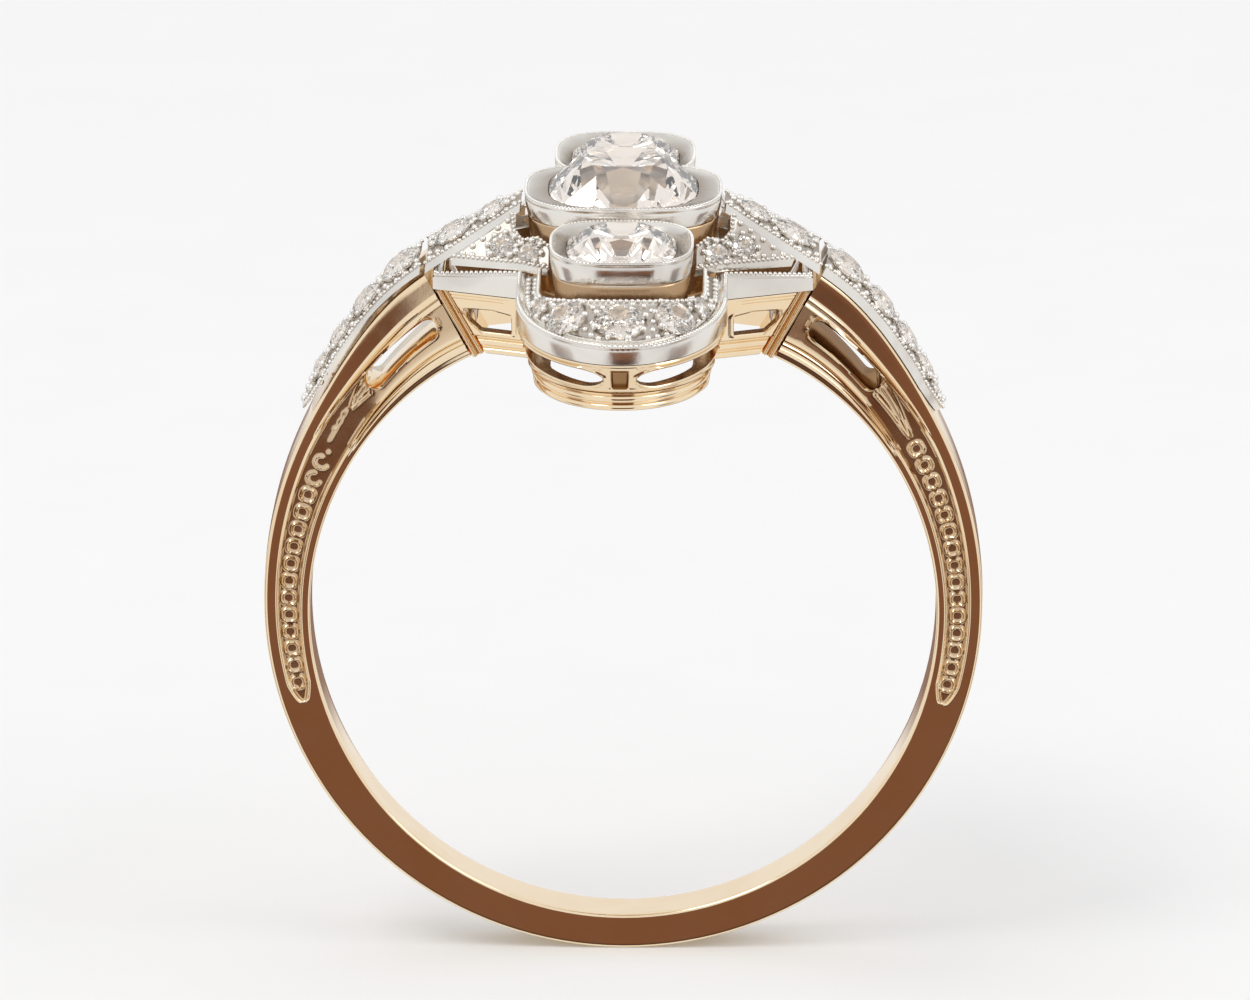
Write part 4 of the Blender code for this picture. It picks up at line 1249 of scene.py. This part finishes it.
def make_main_stone(word):
    """Old cushion cut: high crown, small table, open culet."""
    node = f"{word}_diamond"
    half, y = plan(node)
    girdle = girdle_height(word)
    crown = high(node)[2] - girdle - GIRDLE_DEPTH
    pavilion = (girdle - low(node)[2]) * 1.08

    def outline(turn):
        c, s = math.cos(turn), math.sin(turn)
        reach = cushion_reach(c, s)
        return half[0] * reach * c, half[1] * reach * s

    star_slope = STAR_SHARE * crown / half[1]
    gem = cut_stone(outline, GIRDLE_DEPTH, crown, pavilion, TABLE_RATIO, CULET_RATIO, star_slope)
    shift = Vector((0, y, girdle)) * MM
    finish_gem(gem, node, DIAMOND, Matrix.Translation(shift) @ Matrix.Scale(MM, 4))


def make_small_stone(node, turn):
    """Round stone, turned on its seat so that no two of them look alike."""
    at, normal, radius = girdle_point(node)

    def outline(angle):
        wobble = 1 + 0.012 * math.sin(3 * angle + turn)
        return radius * wobble * math.cos(angle), radius * wobble * math.sin(angle)

    crown, pavilion = SMALL_TABLE_RISE * radius, SMALL_PAVILION * radius
    gem = cut_stone(outline, 0.04 * radius, crown, pavilion, TABLE_RATIO, 0.06, 0.3)
    spin = Matrix.Rotation(turn, 4, "Z")
    stand = Vector(normal).to_track_quat("Z", "Y").to_matrix().to_4x4()
    matrix = Matrix.Translation(Vector(at) * MM) @ stand @ spin @ Matrix.Scale(MM, 4)
    finish_gem(gem, node, SMALL_DIAMOND, matrix)


# ---- studio


FLOOR_GREYS = (0.845, 0.835, 0.825), (0.855, 0.845, 0.835)


def make_floor():
    shape = bmesh.new()
    bmesh.ops.create_grid(shape, x_segments=1, y_segments=1, size=1.5)
    mesh = bpy.data.meshes.new("floor")
    shape.to_mesh(mesh)
    shape.free()
    floor = bpy.data.objects.new("floor", mesh)
    bpy.context.scene.collection.objects.link(floor)
    floor.location.z = CAD_BOX[0].z
    floor.visible_glossy = False
    floor.visible_transmission = False
    tree = Look("floor")
    grain = tree.noise(260.0, 3.0)
    tree.set("Base Color", tree.ramp(grain, (0.3, FLOOR_GREYS[0]), (0.7, FLOOR_GREYS[1])))
    tree.set("Roughness", 0.9)
    tree.set("Specular IOR Level", 0.1)
    mesh.materials.append(tree.material)


# Sideways spread of each dark card (tangents) and its heights, each with how soft its edge is.
FRONT_SPREAD, FRONT_HEIGHTS = (-0.31, 0.54, 0.045), (-0.76, -0.04, 0.05)
BACK_SPREAD, BACK_HEIGHTS = (-0.36, 0.30, 0.05), (-0.70, -0.22, 0.06)
SIDE_SPREAD = (-0.26, 0.22, 0.06)
CARD_GLOW, CARD_FOOT_GLOW, CARD_FOOT = (0.225, 0.105, 0.062), (0.080, 0.045, 0.035), (-0.55, -0.30)
CARD_UNSEEN = 0.92  # share of the cards that light passing through the diamonds misses
FLOOR_GLOW, SKY_GLOW, HORIZON = (0.92, 0.90, 0.87), (0.90, 0.91, 0.93), (-0.9, 0.6)


def make_world():
    """A bright tent with brown cards that stand low in front, behind and at both sides."""
    world = bpy.data.worlds.new("studio")
    bpy.context.scene.world = world
    tree = Tree(world, "Background")
    x, y, height = tree.node("SeparateXYZ", {0: tree.where("Generated")}).outputs

    def smooth(value, start, end):
        inputs = {"Value": value, "From Min": start, "From Max": end}
        return tree.node("MapRange", inputs, interpolation_type="SMOOTHSTEP").outputs["Result"]

    def rest_of(share):
        return tree.math("SUBTRACT", 1.0, share)

    def between(value, start, end, soft):
        rise = smooth(value, start - soft, start + soft)
        return tree.math("MULTIPLY", rise, rest_of(smooth(value, end - soft, end + soft)))

    def card(along, ahead, spread, heights, weight):
        """A card towards one side, spread sideways by tangents from start to end."""
        ratio = tree.math("DIVIDE", along, tree.math("MAXIMUM", ahead, 0.001))
        wide = tree.math("MULTIPLY", smooth(ahead, 0.0, 0.1), between(ratio, *spread))
        tall = tree.math("MULTIPLY", between(height, *heights), weight)
        return tree.math("MULTIPLY", wide, tall)

    front = card(x, tree.math("MULTIPLY", y, -1.0), FRONT_SPREAD, FRONT_HEIGHTS, 1.0)
    back = card(x, y, BACK_SPREAD, BACK_HEIGHTS, 0.9)
    sides = card(y, tree.math("ABSOLUTE", x), SIDE_SPREAD, BACK_HEIGHTS, 0.7)
    dark = tree.math("MAXIMUM", tree.math("MAXIMUM", front, back), sides)
    through = tree.node("LightPath", {}).outputs["Is Transmission Ray"]
    dark = tree.math("MULTIPLY", dark, rest_of(tree.math("MULTIPLY", through, CARD_UNSEEN)))
    tent = tree.mix(smooth(height, *HORIZON), FLOOR_GLOW, SKY_GLOW)
    cards = tree.mix(smooth(height, *CARD_FOOT), CARD_FOOT_GLOW, CARD_GLOW)
    tree.set("Color", tree.mix(dark, tent, cards))
    tree.set("Strength", 1.0)


def make_lamp(name, place_at, size, power, colour):
    lamp = bpy.data.lights.new(name, "AREA")
    lamp.shape, lamp.size, lamp.energy, lamp.color = "DISK", size, power, colour
    holder = bpy.data.objects.new(name, lamp)
    holder.location = place_at
    holder.rotation_mode = "QUATERNION"
    holder.rotation_quaternion = Vector(place_at).to_track_quat("Z", "Y")
    bpy.context.scene.collection.objects.link(holder)


def make_camera():
    azimuth, elevation = math.radians(CAMERA_AZIMUTH), math.radians(CAMERA_ELEVATION)
    back = Vector(
        (
            math.sin(azimuth) * math.cos(elevation),
            -math.cos(azimuth) * math.cos(elevation),
            math.sin(elevation),
        )
    )
    data = bpy.data.cameras.new("camera")
    data.sensor_width, data.lens = 36.0, CAMERA_LENS
    data.clip_start, data.clip_end = 0.01, 10.0
    camera = bpy.data.objects.new("camera", data)
    camera.location = CAMERA_AIM + back * CAMERA_DISTANCE
    camera.rotation_mode = "QUATERNION"
    camera.rotation_quaternion = (-back).to_track_quat("-Z", "Y")
    bpy.context.scene.collection.objects.link(camera)
    bpy.context.scene.camera = camera


LIGHT_BOUNCES = 14  # light crosses a cut diamond many times


def make_studio():
    make_camera()
    make_world()
    make_floor()
    make_lamp("key", (-0.18, -0.10, 0.34), 0.16, 0.30, (1.0, 0.99, 0.97))
    make_lamp("fill", (0.24, -0.06, 0.22), 0.20, 0.16, (0.98, 0.99, 1.0))
    bpy.context.scene.view_settings.view_transform = "Standard"
    bpy.context.scene.cycles.glossy_bounces = LIGHT_BOUNCES
    bpy.context.scene.cycles.transmission_bounces = LIGHT_BOUNCES
    bpy.context.scene.cycles.max_bounces = LIGHT_BOUNCES


END_JOINT_DROP, CENTRE_JOINT_DROP = 0.70, 0.62  # from a bezel's rim to its gold tube
GOLDEN_ANGLE = 2.399  # radians


def main():
    make_studio()
    make_shank()
    make_rim()
    make_base_rail()
    for side, word in ((-1, "left"), (1, "right")):
        make_shoulder_strip(side, word)
        make_head_strip(side, word)
        make_junction(side, word)
    for sign, word in ((-1, "front"), (1, "back")):
        make_lobe_plate(sign, word)
        make_basket(sign, word)
        make_collet(word, END_JOINT_DROP)
        make_main_stone(word)
        for side, hand in ((-1, "left"), (1, "right")):
            make_gallery_side(sign, side, f"{word}_{hand}")
            make_wing(sign, side, f"{word}_{hand}")
    make_collet("centre", CENTRE_JOINT_DROP)
    make_main_stone("centre")
    small = sorted(name for name in NODES if "stone" in name)
    for number, node in enumerate(small):
        make_small_stone(node, number * GOLDEN_ANGLE)


main()
